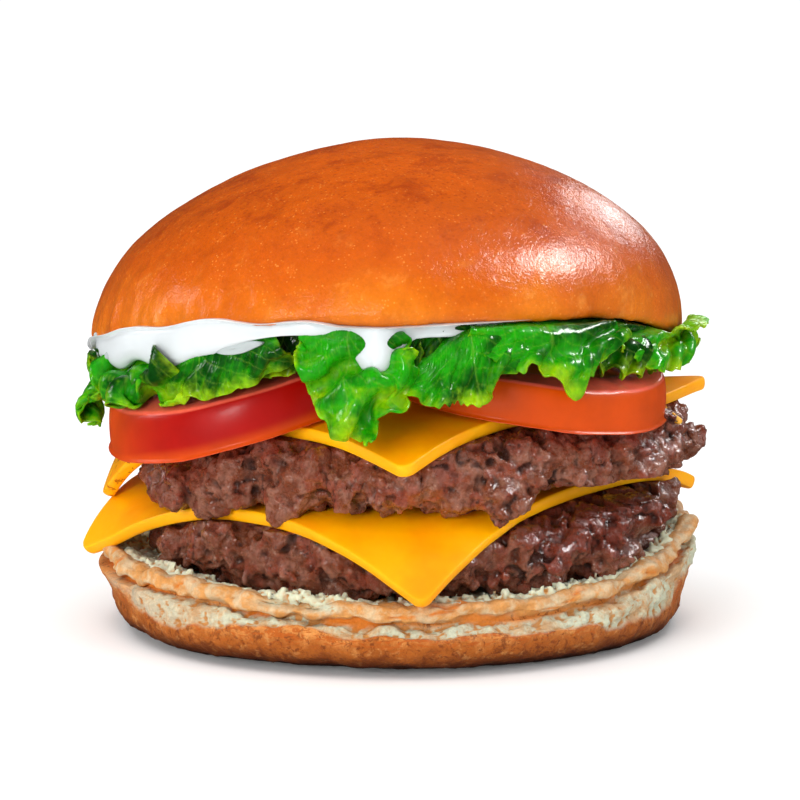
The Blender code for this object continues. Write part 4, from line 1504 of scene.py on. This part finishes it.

# A leaf hangs from its crest to its margin: rows of azimuth in degrees, radius and height in millimetres.
# Then how far it bellies out between them, how much longer than its place its margin has grown, the size of
# the ripples it starts with, the size of its teeth, its tone from dark to bright, and its seed.
# A low tone is painted shade: the inner lobes that lie behind the others are dark to stand for the shade
# between leaves.
LEAVES = {
    "lettuce_far_left": (
        Leaf(
            ((-197, 53, 56), (-186, 54, 57.5), (-175, 54.5, 58), (-167, 54, 58.5)),
            ((-197, 57, 50), (-190, 59, 44.5), (-183, 60, 41),
             (-177, 60, 42), (-172, 59, 46), (-167, 58, 52)),
            1.0, 0.75, 5, 0.7, 0.6, 1,
        ),
        Leaf(
            ((-176, 53, 58.5), (-168, 54.5, 59.5), (-160, 54.5, 60.5)),
            ((-176, 57.5, 55), (-169, 58.5, 53.2), (-162, 58.5, 53.4), (-157, 58, 56)),
            1.6, 0.4, 5, 0.5, 0.15, 2,
        ),
    ),
    "lettuce_left": (
        Leaf(
            ((-161, 53, 60), (-151, 54, 60.5), (-141, 54, 61.5), (-132, 54, 62)),
            ((-162, 58, 52.5), (-156, 59, 49.5), (-149, 59.5, 48.6), (-141, 59, 49), (-134, 57.5, 51.5)),
            1.0, 1.25, 5, 0.3, 0.8, 3,
        ),
    ),
    "lettuce_left_inner": (
        Leaf(
            ((-137, 54, 59.5), (-129, 55, 61.5), (-120, 55.5, 63.4), (-112, 55, 64)),
            ((-138, 57, 55), (-133, 58, 50.5), (-126, 57.5, 50), (-118, 55.5, 52.5), (-110, 53, 57)),
            1.2, 0.2, 7, 0.3, 0.45, 4,
        ),
        Leaf(
            ((-124, 48, 63.5), (-114, 48, 64), (-106, 48, 64), (-98, 48, 64)),
            ((-124, 50.5, 52.5), (-117, 51.5, 53), (-109, 51.5, 54.5), (-101, 51, 57)),
            0.6, 0.3, 6, 0.6, 0.0, 5,
        ),
    ),
    "lettuce_centre": (
        Leaf(
            ((-106, 54, 63.5), (-100, 55, 64), (-94, 55.5, 64), (-88, 55, 64)),
            ((-106.5, 57, 58), (-104, 58, 51), (-99, 59, 46.3),
             (-94, 59, 45.6), (-90, 58.5, 49), (-86, 57, 56)),
            1.2, 0.65, 5, 0.7, 0.85, 6,
        ),
        Leaf(
            ((-97, 52, 64), (-91, 52.5, 64), (-84, 53, 64)),
            ((-97, 55, 52), (-92, 57, 49.6), (-88, 57, 51), (-85, 56, 57)),
            1.0, 0.5, 5, 0.8, 0.2, 7,
        ),
    ),
    "lettuce_centre_right": (
        Leaf(
            ((-84, 54, 58.5), (-79, 55, 61.5), (-74, 55.5, 63.4), (-67, 55, 64)),
            ((-88, 57.5, 52), (-84, 58, 50), (-79, 58, 49.6),
             (-74, 58, 50.6), (-69, 57, 54.5), (-64, 56, 58)),
            1.4, 0.35, 6, 1.0, 0.7, 8,
        ),
        Leaf(
            ((-89, 52, 64.5), (-82, 52.5, 64.5), (-74, 53, 64.5)),
            ((-90, 54, 58.5), (-84, 55, 57), (-78, 55, 57.5), (-72, 54.5, 60)),
            0.8, 0.6, 4, 0.6, 0.0, 9,
        ),
    ),
    "lettuce_right": (
        Leaf(
            ((-75, 55, 63.8), (-65, 56, 64.2), (-55, 56, 64.3), (-46, 55.5, 64.2)),
            ((-76, 57, 60), (-69, 58, 56.5), (-62, 59, 54),
             (-55.5, 59.5, 51.2), (-50, 59, 56), (-44, 59, 60)),
            1.6, 0.25, 7, 0.9, 0.75, 10,
        ),
    ),
    "lettuce_right_dark": (
        Leaf(
            ((-53, 52, 64), (-44, 53, 64.2), (-35, 53, 64), (-27, 52, 63)),
            ((-52, 54.5, 57.5), (-45, 56, 54.6), (-38, 56.5, 53.8), (-31, 56, 54.6), (-26, 55, 57.5)),
            1.2, 0.7, 5, 0.6, 0.05, 11,
        ),
    ),
    "lettuce_far_right": (
        Leaf(
            ((-41, 54, 60.5), (-32, 55, 61), (-24, 55, 61), (-16, 55, 60)),
            ((-40, 57, 57), (-34, 58.5, 54), (-27, 59, 53.4), (-20, 59.5, 54.4), (-13, 60.5, 57)),
            1.2, 0.4, 6, 0.8, 1.35, 12,
        ),
        Leaf(
            ((-26, 53, 62), (-22, 55, 62), (-18, 56, 61.6)),
            ((-20, 61, 60.2), (-15, 62.5, 60), (-11, 62, 61.2), (-13, 59, 62.3)),
            0.3, 0.3, 5, 0.8, 1.5, 13,
        ),
    ),
    "lettuce_back_right": (
        Leaf(
            ((4, 52, 57), (16, 52, 57), (28, 52, 57.5), (40, 52, 58)),
            ((3, 56, 53), (13, 57, 50.5), (23, 57, 49.6), (33, 57, 50.6), (42, 56, 53)),
            0.8, 0.8, 5, 0.6, 0.5, 14,
        ),
    ),
    "lettuce_back_middle": (
        Leaf(
            ((42, 52, 58), (54, 52, 58.5), (67, 52, 58.5), (80, 52, 58.5)),
            ((41, 56, 52), (52, 57.5, 49.5), (62, 57.5, 48.4), (72, 57, 49.6), (82, 56, 52.5)),
            0.8, 0.8, 5, 0.6, 0.7, 15,
        ),
    ),
    "lettuce_back_left": (
        Leaf(
            ((83, 52, 58.5), (95, 52, 58.5), (108, 52, 58), (121, 52, 58)),
            ((82, 56, 52.5), (92, 57.5, 50), (102, 57.5, 48.6), (112, 57, 50), (122, 56, 52.5)),
            0.8, 0.9, 5, 0.6, 0.75, 16,
        ),
    ),
    "lettuce_left_back": (
        Leaf(
            ((124, 52, 58), (137, 52, 57.5), (150, 52, 57), (164, 52, 56.5)),
            ((123, 56, 52), (134, 57.5, 49), (144, 57.5, 47.6), (154, 57.5, 49), (165, 56, 52)),
            0.8, 0.9, 5, 0.6, 0.6, 17,
        ),
    ),
}


def leaf_level(x, y):
    """The floor and ceiling of the space for leaves, carried on past the tomato's edge."""
    thickness = np.where(x < -1 * MM, TOMATOES["tomato_left"][3], TOMATOES["tomato_right"][3])
    low = tomato_floor(x, y) + np.where(y > 2 * MM, TOMATOES["tomato_back"][3], thickness) + LEAF_ROOM
    return low, crown_seat(x, y) - SAUCE_THICKNESS - LEAF_ROOM


def cylinder(row):
    """Azimuth, radius and height in a row, from degrees and millimetres."""
    return np.asarray(row, float) * (math.pi / 180, MM, MM)


def leaf_place(leaf, s, t):
    """Where a leaf would lie if it had not grown: from its root in the stack over its crest to its margin."""
    crest = across(s, cylinder(leaf.crest))
    margin = across(s, cylinder(leaf.margin))
    belly = (crest + margin) / 2 + (0, leaf.belly * MM, 0)
    azimuth = crest[..., 0].mean() + 0.8 * (crest[..., 0] - crest[..., 0].mean())
    x, y = out_at(ROOT_RADIUS, azimuth)
    low, high = leaf_level(x, y)
    root = np.stack([azimuth, ROOT_RADIUS + 0 * azimuth, low + 0.7 * (high - low)], axis=-1)
    rows = np.stack([root, crest, belly, margin], axis=0)
    step = t * 3
    first = np.minimum(np.floor(step).astype(int), 2)
    u = (step - first)[..., None]
    columns = np.arange(s.shape[1])[None, :]
    rank = np.arange(s.shape[0])[:, None]
    a, b, c, d = (rows[np.clip(first + k, 0, 3), rank, columns] for k in (-1, 0, 1, 2))
    azimuth, r, z = np.moveaxis(curved(a, b, c, d, u), -1, 0)
    return points_at(r, azimuth, z)


def spring(spots, first, second, length, stiffness, shift):
    """Moves two sets of points towards the distances that they would keep."""
    gap = spots[second] - spots[first]
    now = np.sqrt(np.einsum("ijk,ijk->ij", gap, gap)) + 1e-9
    move = gap * (0.5 * stiffness * (1 - length / now))[..., None]
    shift[first] += move
    shift[second] -= move


def let_fold(leaf, place, t):
    """Lets a leaf that has outgrown its place ripple by itself, held at its crest and free at its margin."""
    growth = (1 + leaf.growth * smoothstep((t - 0.45) / 0.55))[..., None]
    every, not_last, not_first = slice(None), slice(None, -1), slice(1, None)
    links = (
        ((not_last, every), (not_first, every), 0.45),
        ((every, not_last), (every, not_first), 0.45),
        ((not_last, not_last), (not_first, not_first), 0.2),
        ((not_first, not_last), (not_last, not_first), 0.2),
        ((every, slice(None, -3)), (every, slice(3, None)), 0.25),
        ((every, slice(None, -7)), (every, slice(7, None)), 0.12),
        ((slice(None, -3), every), (slice(3, None), every), 0.12),
    )
    east = np.gradient(place, axis=1) * (growth - 1)
    widened = place + np.cumsum(east, axis=1)
    ties = []
    for first, second, stiffness in links:
        length = np.linalg.norm(widened[second] - widened[first], axis=-1)
        ties.append((first, second, length, stiffness))
    held = smoothstep((0.5 - t) / 0.3)[..., None] * 0.6 + 0.004
    flow = np.cross(np.gradient(place, axis=1), np.gradient(place, axis=0))
    flow = flow / (np.linalg.norm(flow, axis=-1, keepdims=True) + 1e-12)
    free = smoothstep((t - 0.3) / 0.5)[..., None]
    flat = place.reshape(-1, 3)
    hint = lumps(flat, 1.5 * leaf.lumps * MM, leaf.seed)
    hint = hint + 0.25 * lumps(flat, 0.7 * leaf.lumps * MM, leaf.seed + 7)
    spots = place + flow * free * 1.3 * MM * hint.reshape(t.shape)[..., None]
    for step in range(FOLD_ROUNDS):
        shift = np.zeros_like(spots)
        for first, second, length, stiffness in ties:
            spring(spots, first, second, length, stiffness, shift)
        spots = spots + shift
        spots = spots + held * (place - spots)
        if step % 8 == 7:
            spots = np.stack(clear_of_layers(*np.moveaxis(spots, -1, 0)), axis=-1)
    return spots


def torn(spots, leaf):
    """Cuts teeth and notches into the margin of a leaf."""
    s = np.linspace(0, 1, spots.shape[1])
    along = np.stack([s * 9, 0 * s, 0 * s], axis=-1)
    saw = np.abs((s * 9 + 1.4 * np.sin(s * 11 + leaf.seed)) % 1 - 0.5)
    saw = saw * smoothstep(0.5 + lumps(along, 1.3, leaf.seed + 3))
    bite = smoothstep((lumps(along, 1, leaf.seed) - 0.2) / 0.6)
    cut = leaf.teeth * (0.24 * saw + 0.2 * bite + 0.05)
    row = np.linspace(0, 1, len(spots))[:, None]
    row = row * (1 - cut * smoothstep(row * 1.6 - 0.6)) * (len(spots) - 1)
    first = np.minimum(np.floor(row).astype(int), len(spots) - 2)
    share = (row - first)[..., None]
    columns = np.arange(spots.shape[1])[None, :]
    return spots[first, columns] * (1 - share) + spots[first + 1, columns] * share


def finer(rows, times):
    """The same sheet with so many times the rows and columns."""
    for axis in (0, 1):
        rows = np.moveaxis(rows, axis, 0)
        share = np.linspace(0, 1, (len(rows) - 1) * times + 1)
        rows = across(share, rows)
        rows = np.moveaxis(rows, 0, axis)
    return rows


def clear_of_layers(x, y, z, room=LEAF_ROOM):
    """Moves a point out of the tomatoes, the cheese and the crown, by the shorter way."""
    for cx, cy, radius, thickness in TOMATOES.values():
        bottom = tomato_floor(x, y)
        top = bottom + thickness + room
        away = np.hypot(x - cx, y - cy)
        out, up = radius + room - away, top - z
        within = (out > 0) & (up > 0) & (z > bottom - room)
        sideways = within & (out < up)
        grow = np.where(sideways, (radius + room) / np.maximum(away, 1e-6), 1)
        x, y = cx + (x - cx) * grow, cy + (y - cy) * grow
        z = np.where(within & ~sideways, top, z)
    beneath = outside_slice(x, y, *UPPER_SLICE) < 0
    z = np.where(beneath, np.maximum(z, slice_top(upper_bed, x, y) + room), z)
    r, azimuth = polar(x, y)
    outside = smoothstep((r - around(azimuth, CROWN_RADIUS)) / (5 * MM))
    ceiling = crown_underside(x, y) - LEAF_ROOM + 20 * MM * outside
    return x, y, np.minimum(z, ceiling)


def leaf_veins(leaf, s, t):
    """One on a rib, nought between ribs: a midrib with side ribs that branch towards the margin."""
    off = np.abs(2 * s - 1 - 0.15 * math.sin(leaf.seed))
    midrib = smoothstep(1 - off / (0.05 * (1.25 - t)))
    spread = (3.2 * t - 2.2 * off + 0.2 * np.sin(10 * s)) * 2.2
    side = smoothstep(1 - np.abs(spread % 1 - 0.5) / 0.07)
    finer_ribs = (14.2 * s + 2.5 * t + 0.5 * np.sin(7 * t)) * 1.4
    fine = 0.5 * smoothstep(1 - np.abs(finer_ribs % 1 - 0.5) / 0.09)
    return np.maximum(np.maximum(midrib, side), fine)


def lettuce_finish(lettuce):
    """Wet leaf: bright green, with painted shade in its folds, yellow-green at its margin and along its ribs.
    """
    f = Finish("lettuce")
    tone, margin, vein = f.value("tone"), f.value("margin"), f.value("vein")
    blotch = f.noise(5 * MM, 4, 0.6)
    shade = f.wander(tone, blotch, 1.7)
    colour = f.mix(f.step(shade, 0.15, 0.95), lettuce.dark, lettuce.bright)
    colour = f.over(colour, lettuce.margin, f.step(shade, 1.0, 1.9), 0.7)
    edge = f.step(f.wander(margin, blotch, 0.9), 0.76, 1.12)
    colour = f.over(colour, lettuce.margin, edge, 0.8)
    colour = f.over(colour, lettuce.vein, vein, 0.22)
    web = f.cells(2.1 * MM, "DISTANCE_TO_EDGE")
    colour = f.shaded(colour, f.step(web, 0.0, 0.3), 1.1, 0.92)
    colour = f.shaded(colour, f.noise(0.7 * MM, 3), 0.88, 1.12)
    gloss = f.span(f.noise(3 * MM, 3, 0.6), 0.35, 0.65, 0.2, 0.42)
    f.relief((f.step(web, 0.0, 0.4), 0.09 * MM, 0.5), (f.noise(1.6 * MM, 3), 0.12 * MM, 0.6))
    return f.done(
        colour,
        gloss,
        **through(0.3, 1.0 * MM, 0.3, 1.0, 0.05),
        Specular_IOR_Level=0.2,
        Coat_Weight=0.35,
        Coat_Roughness=0.1,
    )


def sheet_mesh(name, spots):
    rows, columns = spots.shape[:2]
    low = np.arange(rows - 1)[:, None] * columns
    k = np.arange(columns - 1)
    quads = np.stack([low + k, low + k + 1, low + columns + k + 1, low + columns + k], axis=-1).reshape(-1, 4)
    mesh = bpy.data.meshes.new(name)
    mesh.from_pydata(spots.reshape(-1, 3).tolist(), [], quads.tolist())
    mesh.update()
    return mesh


def leaf_mesh(name, leaf):
    """One lobe of a leaf, rippled and crinkled."""
    s, t = np.meshgrid(np.linspace(0, 1, LEAF_ACROSS), np.linspace(0, 1, LEAF_ALONG) ** 0.8)
    spots = torn(finer(let_fold(leaf, leaf_place(leaf, s, t), t), LEAF_FINER), leaf)
    s, t = finer(s[..., None], LEAF_FINER)[..., 0], finer(t[..., None], LEAF_FINER)[..., 0]
    mesh = sheet_mesh(name, spots)
    put(mesh, neighbour_mean(mesh, places(mesh), 2))
    vein = leaf_veins(leaf, s, t)
    free = smoothstep(t.ravel() * 1.5)
    flat = spots.reshape(-1, 3)
    push_out(mesh, 0.1 * MM * vein.ravel() + free * 0.16 * MM * rough(flat, 4 * MM, 2, leaf.seed))
    # Painted shade and light: the tone is lower in the hollows of the folds and higher on their crests.
    fold_shade = neighbour_mean(mesh, hollows(mesh, 1.2 * MM, 14), 3)
    tone = leaf.tone + 0.4 * lumps(flat, 9 * MM, leaf.seed) + 0.3 * (t.ravel() - 0.6) + 1.1 * (0.5 - fold_shade)
    off = np.abs(2 * s - 1)
    keep_values(mesh, tone=tone, margin=t * (1 - 0.2 * off) + 0.35 * off**6, vein=vein)
    return mesh


def build_leaf(lettuce, name, lobes, finish):
    """The lobes of a leaf as one piece with a thickness."""
    bm = bmesh.new()
    for number, leaf in enumerate(lobes):
        bm.from_mesh(leaf_mesh(name + str(number), leaf))
    piece = add_piece(name + "_leaf", mesh_from(bm, name), finish)
    solid = piece.modifiers.new("Thickness", "SOLIDIFY")
    solid.thickness = lettuce.thickness
    solid.offset = 0
    made_plain(piece)
    ride(piece, "lettuce", name)


# --- drips ---


DRIP_TURNS = 64
DRIP_RINGS = 14
DRIP_ROUNDS = 24
DRIP_RADIUS = 57 * MM
RAY_START, RAY_LENGTH = 90 * MM, 60 * MM
# Azimuth in degrees, height, half length, half width and thickness in millimetres, and tilt in degrees
SAUCE_STREAKS = (
    (-118.5, 59.6, 4.8, 1.1, 0.4, 8),
    (-153, 55.8, 1.2, 0.9, 0.5, 0),
    (-164, 57.6, 1.6, 1.0, 0.6, 80),
)
MELTS = ((-22, 45.4, 3.6, 2.7, 2.2, 80), (-24, 48.6, 2.8, 2.0, 1.6, 30), (-18, 47.4, 2.2, 1.7, 1.4, 70))


def surface_of(names):
    """What can be hit of the named pieces."""
    spots, faces = [], []
    for name in names:
        mesh = bpy.data.objects[name].data
        faces.extend(tuple(len(spots) + k for k in face.vertices) for face in mesh.polygons)
        spots.extend(tuple(point.co) for point in mesh.vertices)
    return BVHTree.FromPolygons(spots, faces)


def outermost(tree, azimuth, z):
    """The radius where the pieces are first met from outside at each azimuth and height."""
    radius = np.empty(azimuth.shape)
    for k in np.ndindex(azimuth.shape):
        way = Vector((-math.cos(azimuth[k]), -math.sin(azimuth[k]), 0))
        hit = tree.ray_cast(Vector((0, 0, float(z[k]))) - way * RAY_START, way, RAY_LENGTH)
        radius[k] = math.hypot(hit[0].x, hit[0].y) if hit[0] else np.nan
    return np.where(np.isnan(radius), np.nanmedian(radius), radius)


def drip_mesh(name, tree, bridge, azimuth, height, length, width, thick, tilt, seed):
    """A flat drop that clings to the surface behind it."""
    turn = all_round(DRIP_TURNS)
    share = np.linspace(0.06, 1, DRIP_RINGS)[:, None]
    wavy = 1 + 0.14 * np.sin(2 * turn + seed) + 0.08 * np.sin(3 * turn + 2 * seed)
    u = length * MM * share * np.cos(turn) * wavy
    v = width * MM * share * np.sin(turn) * wavy
    lean = math.radians(tilt)
    along, up = u * math.cos(lean) - v * math.sin(lean), u * math.sin(lean) + v * math.cos(lean)
    spin, z = math.radians(azimuth) + along / DRIP_RADIUS, height * MM + up
    radius = outermost(tree, spin, z)
    for _ in range(DRIP_ROUNDS):
        ring = (np.roll(radius, 1, 1) + np.roll(radius, -1, 1)) / 2
        inner, outer = np.vstack([radius[:1], radius[:-1]]), np.vstack([radius[1:], radius[-1:]])
        mean = (2 * ring + inner + outer) / 4
        radius = 0.6 * np.maximum(radius, mean) + 0.4 * mean
    radius = radius + bridge * (radius.max() - radius)
    swell = thick * MM * np.sqrt(np.maximum(1 - share**2.6, 0))
    under = points_at(radius - 0.5 * MM, spin, z)
    over = points_at(radius + swell, spin, z)
    return closed_skin(name, np.concatenate([under, over[-2::-1]]))


def build_drips(name, rows, surfaces, bridge, finish, slot):
    """Drops and streaks that lie on other pieces, as one piece."""
    tree = surface_of(surfaces)
    bm = bmesh.new()
    for seed, row in enumerate(rows):
        bm.from_mesh(drip_mesh(name, tree, bridge, *row, seed))
    bmesh.ops.recalc_face_normals(bm, faces=bm.faces)
    ride(add_piece(name, mesh_from(bm, name), finish), slot)


# --- stage ---


FLOOR_SIZE = 60.0
LOOK_AT = Vector((1.8 * MM, 0, 44 * MM))
SENSOR = 36.0
LENS = 112.5
BACKDROP_STRENGTH, ROOM_STRENGTH, LESS_IN_GLOSS = 1.05, 0.4, -0.37
SUN_ANGLE = 75

# Lights that only give shine: name, place, size, and share of the gloss power
SHINES = (
    ("side_box", (0.45, -0.05, 0.47), (0.3, 0.19), 0.5),
    ("front_lamp", (-0.26, -0.7, 0.1), (0.07, 0.07), 0.07),
    ("back_lamp", (0.28, 0.5, 0.3), (0.16, 0.1), 0.05),
    ("left_box", (-0.62, 0.02, 0.28), (0.18, 0.18), 0.06),
)


def add_light(name, place, size, power):
    """A rectangular light that faces the burger."""
    light = bpy.data.lights.new(name, "AREA")
    light.shape = "RECTANGLE"
    light.size, light.size_y = size
    light.energy = power
    lamp = in_scene(name, light)
    lamp.location = place
    lamp.rotation_euler = (LOOK_AT - Vector(place)).to_track_quat("-Z", "Y").to_euler()
    return lamp


def build_floor(stage):
    bm = bmesh.new()
    bmesh.ops.create_grid(bm, x_segments=1, y_segments=1, size=FLOOR_SIZE)
    f = Finish("floor")
    colour = f.shaded(f.mix(0.0, stage.floor, stage.floor), f.noise(0.3, 2), 0.99, 1.01)
    glow = {"Emission_Color": (1, 1, 1, 1), "Emission_Strength": stage.floor_glow}
    floor = add_piece("floor", mesh_from(bm, "floor"), f.done(colour, 0.9, Specular_IOR_Level=0.0, **glow))
    floor.visible_glossy = False


def build_world():
    """A bright backdrop for the camera in a dimmer room, which is dimmer still in what shines."""
    world = bpy.data.worlds.new("studio")
    world.use_nodes = True
    bpy.context.scene.world = world
    tree = world.node_tree
    node = node_maker(tree)
    backdrop = tree.nodes["Background"]
    backdrop.inputs["Color"].default_value = (1, 1, 1, 1)
    backdrop.inputs["Strength"].default_value = BACKDROP_STRENGTH
    path = node("ShaderNodeLightPath").outputs
    glossy = node("ShaderNodeMath", {0: path["Is Glossy Ray"], 1: LESS_IN_GLOSS}, operation="MULTIPLY")
    strength = node("ShaderNodeMath", {0: glossy.outputs[0], 1: ROOM_STRENGTH}, operation="ADD")
    room = node("ShaderNodeBackground", {"Color": (1, 1, 1, 1), "Strength": strength.outputs[0]})
    both = node("ShaderNodeMixShader", {0: path["Is Camera Ray"], 1: room.outputs[0], 2: backdrop.outputs[0]})
    tree.links.new(both.outputs[0], tree.nodes["World Output"].inputs["Surface"])


def build_lights(stage):
    sun = bpy.data.lights.new("overhead", "SUN")
    sun.energy = stage.overhead
    sun.angle = math.radians(SUN_ANGLE)
    overhead = in_scene("overhead", sun)
    overhead.rotation_euler = (math.radians(5), math.radians(-6), 0)
    side_fill = add_light("side_fill", (0.6, -0.35, 0.25), (0.4, 0.4), stage.side_power)
    front_fill = add_light("front_fill", (-0.42, -0.7, 0.2), (0.5, 0.4), stage.front_power)
    for soft in (overhead, side_fill, front_fill):
        soft.visible_glossy = False
    for name, place, size, share in SHINES:
        add_light(name, place, size, share * stage.gloss_power).visible_diffuse = False


def build_stage(stage):
    build_floor(stage)
    build_world()
    build_lights(stage)
    camera = bpy.data.cameras.new("camera")
    camera.sensor_width = SENSOR
    camera.lens = LENS
    camera.clip_start = 10 * MM
    angle, away = stage.camera_height, stage.camera_distance
    eye = in_scene("camera", camera)
    eye.location = LOOK_AT + Vector((0, -away * math.cos(angle), away * math.sin(angle)))
    eye.rotation_euler = (math.pi / 2 - angle, 0, 0)
    scene = bpy.context.scene
    scene.camera = eye
    scene.view_settings.view_transform = "Standard"


# --- operators, panel and start ---


class BURGER_OT_crown(bpy.types.Operator):
    """Makes the domed, egg-washed top bun"""

    bl_idname = "burger.crown"
    bl_label = "Crown"

    def execute(self, context):
        build_crown(context.scene.burger_bread)
        return {"FINISHED"}


class BURGER_OT_heel(bpy.types.Operator):
    """Makes the bottom bun with its torn edge and tufts of crumb"""

    bl_idname = "burger.heel"
    bl_label = "Heel"

    def execute(self, context):
        build_heel(context.scene.burger_bread)
        build_crumb(context.scene.burger_bread)
        return {"FINISHED"}


class BURGER_OT_patties(bpy.types.Operator):
    """Makes the two patties of coarse mince"""

    bl_idname = "burger.patties"
    bl_label = "Patties"

    def execute(self, context):
        beef = context.scene.burger_beef
        lower = Patty(
            LOWER_CENTRE, LOWER_RADIUS, LOWER_FOOT_RADIUS, lower_floor, lower_flat, lower_bed, LOWER_SLICE
        )
        upper = Patty(
            UPPER_CENTRE, UPPER_RADIUS, UPPER_FOOT_RADIUS, upper_floor, upper_flat, upper_bed, UPPER_SLICE
        )
        finish = beef_finish(beef)
        build_patty(beef, "patty_lower", lower, finish, seared_right, 1)
        build_patty(beef, "patty_upper", upper, finish, seared_top, 2)
        return {"FINISHED"}


class BURGER_OT_cheese(bpy.types.Operator):
    """Makes the two slices of cheese"""

    bl_idname = "burger.cheese"
    bl_label = "Cheese"

    def execute(self, context):
        cheese = context.scene.burger_cheese
        finish = cheese_finish(cheese)
        build_slice(cheese, "cheese_lower", LOWER_SLICE, LOWER_RUN, lower_bed, finish, 1)
        build_slice(cheese, "cheese_upper", UPPER_SLICE, UPPER_RUN, upper_bed, finish, 2)
        return {"FINISHED"}


class BURGER_OT_tomatoes(bpy.types.Operator):
    """Makes the three slices of tomato"""

    bl_idname = "burger.tomatoes"
    bl_label = "Tomatoes"

    def execute(self, context):
        tomato = context.scene.burger_tomato
        red = tomato_finish(tomato, "tomato_red", tomato.skin)
        orange = tomato_finish(tomato, "tomato_orange", tomato.orange)
        build_tomato("tomato_left", red, 0.34)
        build_tomato("tomato_right", orange, 0.5)
        build_tomato("tomato_back", red, 0.3)
        return {"FINISHED"}


class BURGER_OT_sauce(bpy.types.Operator):
    """Makes the white sauce"""

    bl_idname = "burger.sauce"
    bl_label = "Sauce"

    def execute(self, context):
        sauce = context.scene.burger_sauce
        build_sauce(sauce, cream_finish("sauce", sauce.cream))
        return {"FINISHED"}


class BURGER_OT_lettuce(bpy.types.Operator):
    """Makes the torn lettuce leaves"""

    bl_idname = "burger.lettuce"
    bl_label = "Lettuce"

    def execute(self, context):
        lettuce = context.scene.burger_lettuce
        finish = lettuce_finish(lettuce)
        for name, lobes in LEAVES.items():
            build_leaf(lettuce, name, lobes, finish)
        return {"FINISHED"}


class BURGER_OT_drips(bpy.types.Operator):
    """Makes the streaks of sauce on the leaves and the melted cheese on the beef"""

    bl_idname = "burger.drips"
    bl_label = "Drips"

    def execute(self, context):
        leaves = [name + "_leaf" for name in LEAVES]
        # The streaks take the darker copy of the sauce colour, which is painted shade.
        cream = cream_finish("shaded_thin_sauce", tuple(context.scene.burger_sauce.thin))
        build_drips("sauce_streaks", SAUCE_STREAKS, [*leaves, "crown_bun"], 0.15, cream, "sauce")
        cheese = context.scene.burger_cheese
        melt = melt_finish(cheese)
        build_drips("cheese_melt", MELTS, ["patty_upper_mince", "cheese_upper_slice"], 0.6, melt, "cheese")
        return {"FINISHED"}


class BURGER_OT_stage(bpy.types.Operator):
    """Makes the floor, the lights and the camera"""

    bl_idname = "burger.stage"
    bl_label = "Stage"

    def execute(self, context):
        build_stage(context.scene.burger_stage)
        return {"FINISHED"}


OPERATORS = (
    BURGER_OT_crown,
    BURGER_OT_heel,
    BURGER_OT_patties,
    BURGER_OT_cheese,
    BURGER_OT_tomatoes,
    BURGER_OT_sauce,
    BURGER_OT_lettuce,
    BURGER_OT_drips,
    BURGER_OT_stage,
)


class BURGER_PT_panel(bpy.types.Panel):
    """Lists the pieces of the burger and what can be changed"""

    bl_label = "Double cheeseburger"
    bl_idname = "BURGER_PT_panel"
    bl_space_type = "VIEW_3D"
    bl_region_type = "UI"
    bl_category = "Burger"

    def draw(self, context):
        for operator in OPERATORS:
            self.layout.operator(operator.bl_idname)
        for group in GROUPS:
            box = self.layout.box()
            settings = getattr(context.scene, setting_name(group))
            for key in group.__annotations__:
                box.prop(settings, key)


def setting_name(group):
    return "burger_" + group.__name__.removeprefix("Burger").lower()


def register():
    for cls in (*GROUPS, *OPERATORS, BURGER_PT_panel):
        bpy.utils.register_class(cls)
    for group in GROUPS:
        setattr(bpy.types.Scene, setting_name(group), PointerProperty(type=group))


def unregister():
    for group in GROUPS:
        delattr(bpy.types.Scene, setting_name(group))
    for cls in (BURGER_PT_panel, *reversed(OPERATORS), *reversed(GROUPS)):
        bpy.utils.unregister_class(cls)


def main():
    register()
    for operator in OPERATORS:
        family, action = operator.bl_idname.split(".")
        getattr(getattr(bpy.ops, family), action)()


if __name__ == "__main__":
    main()
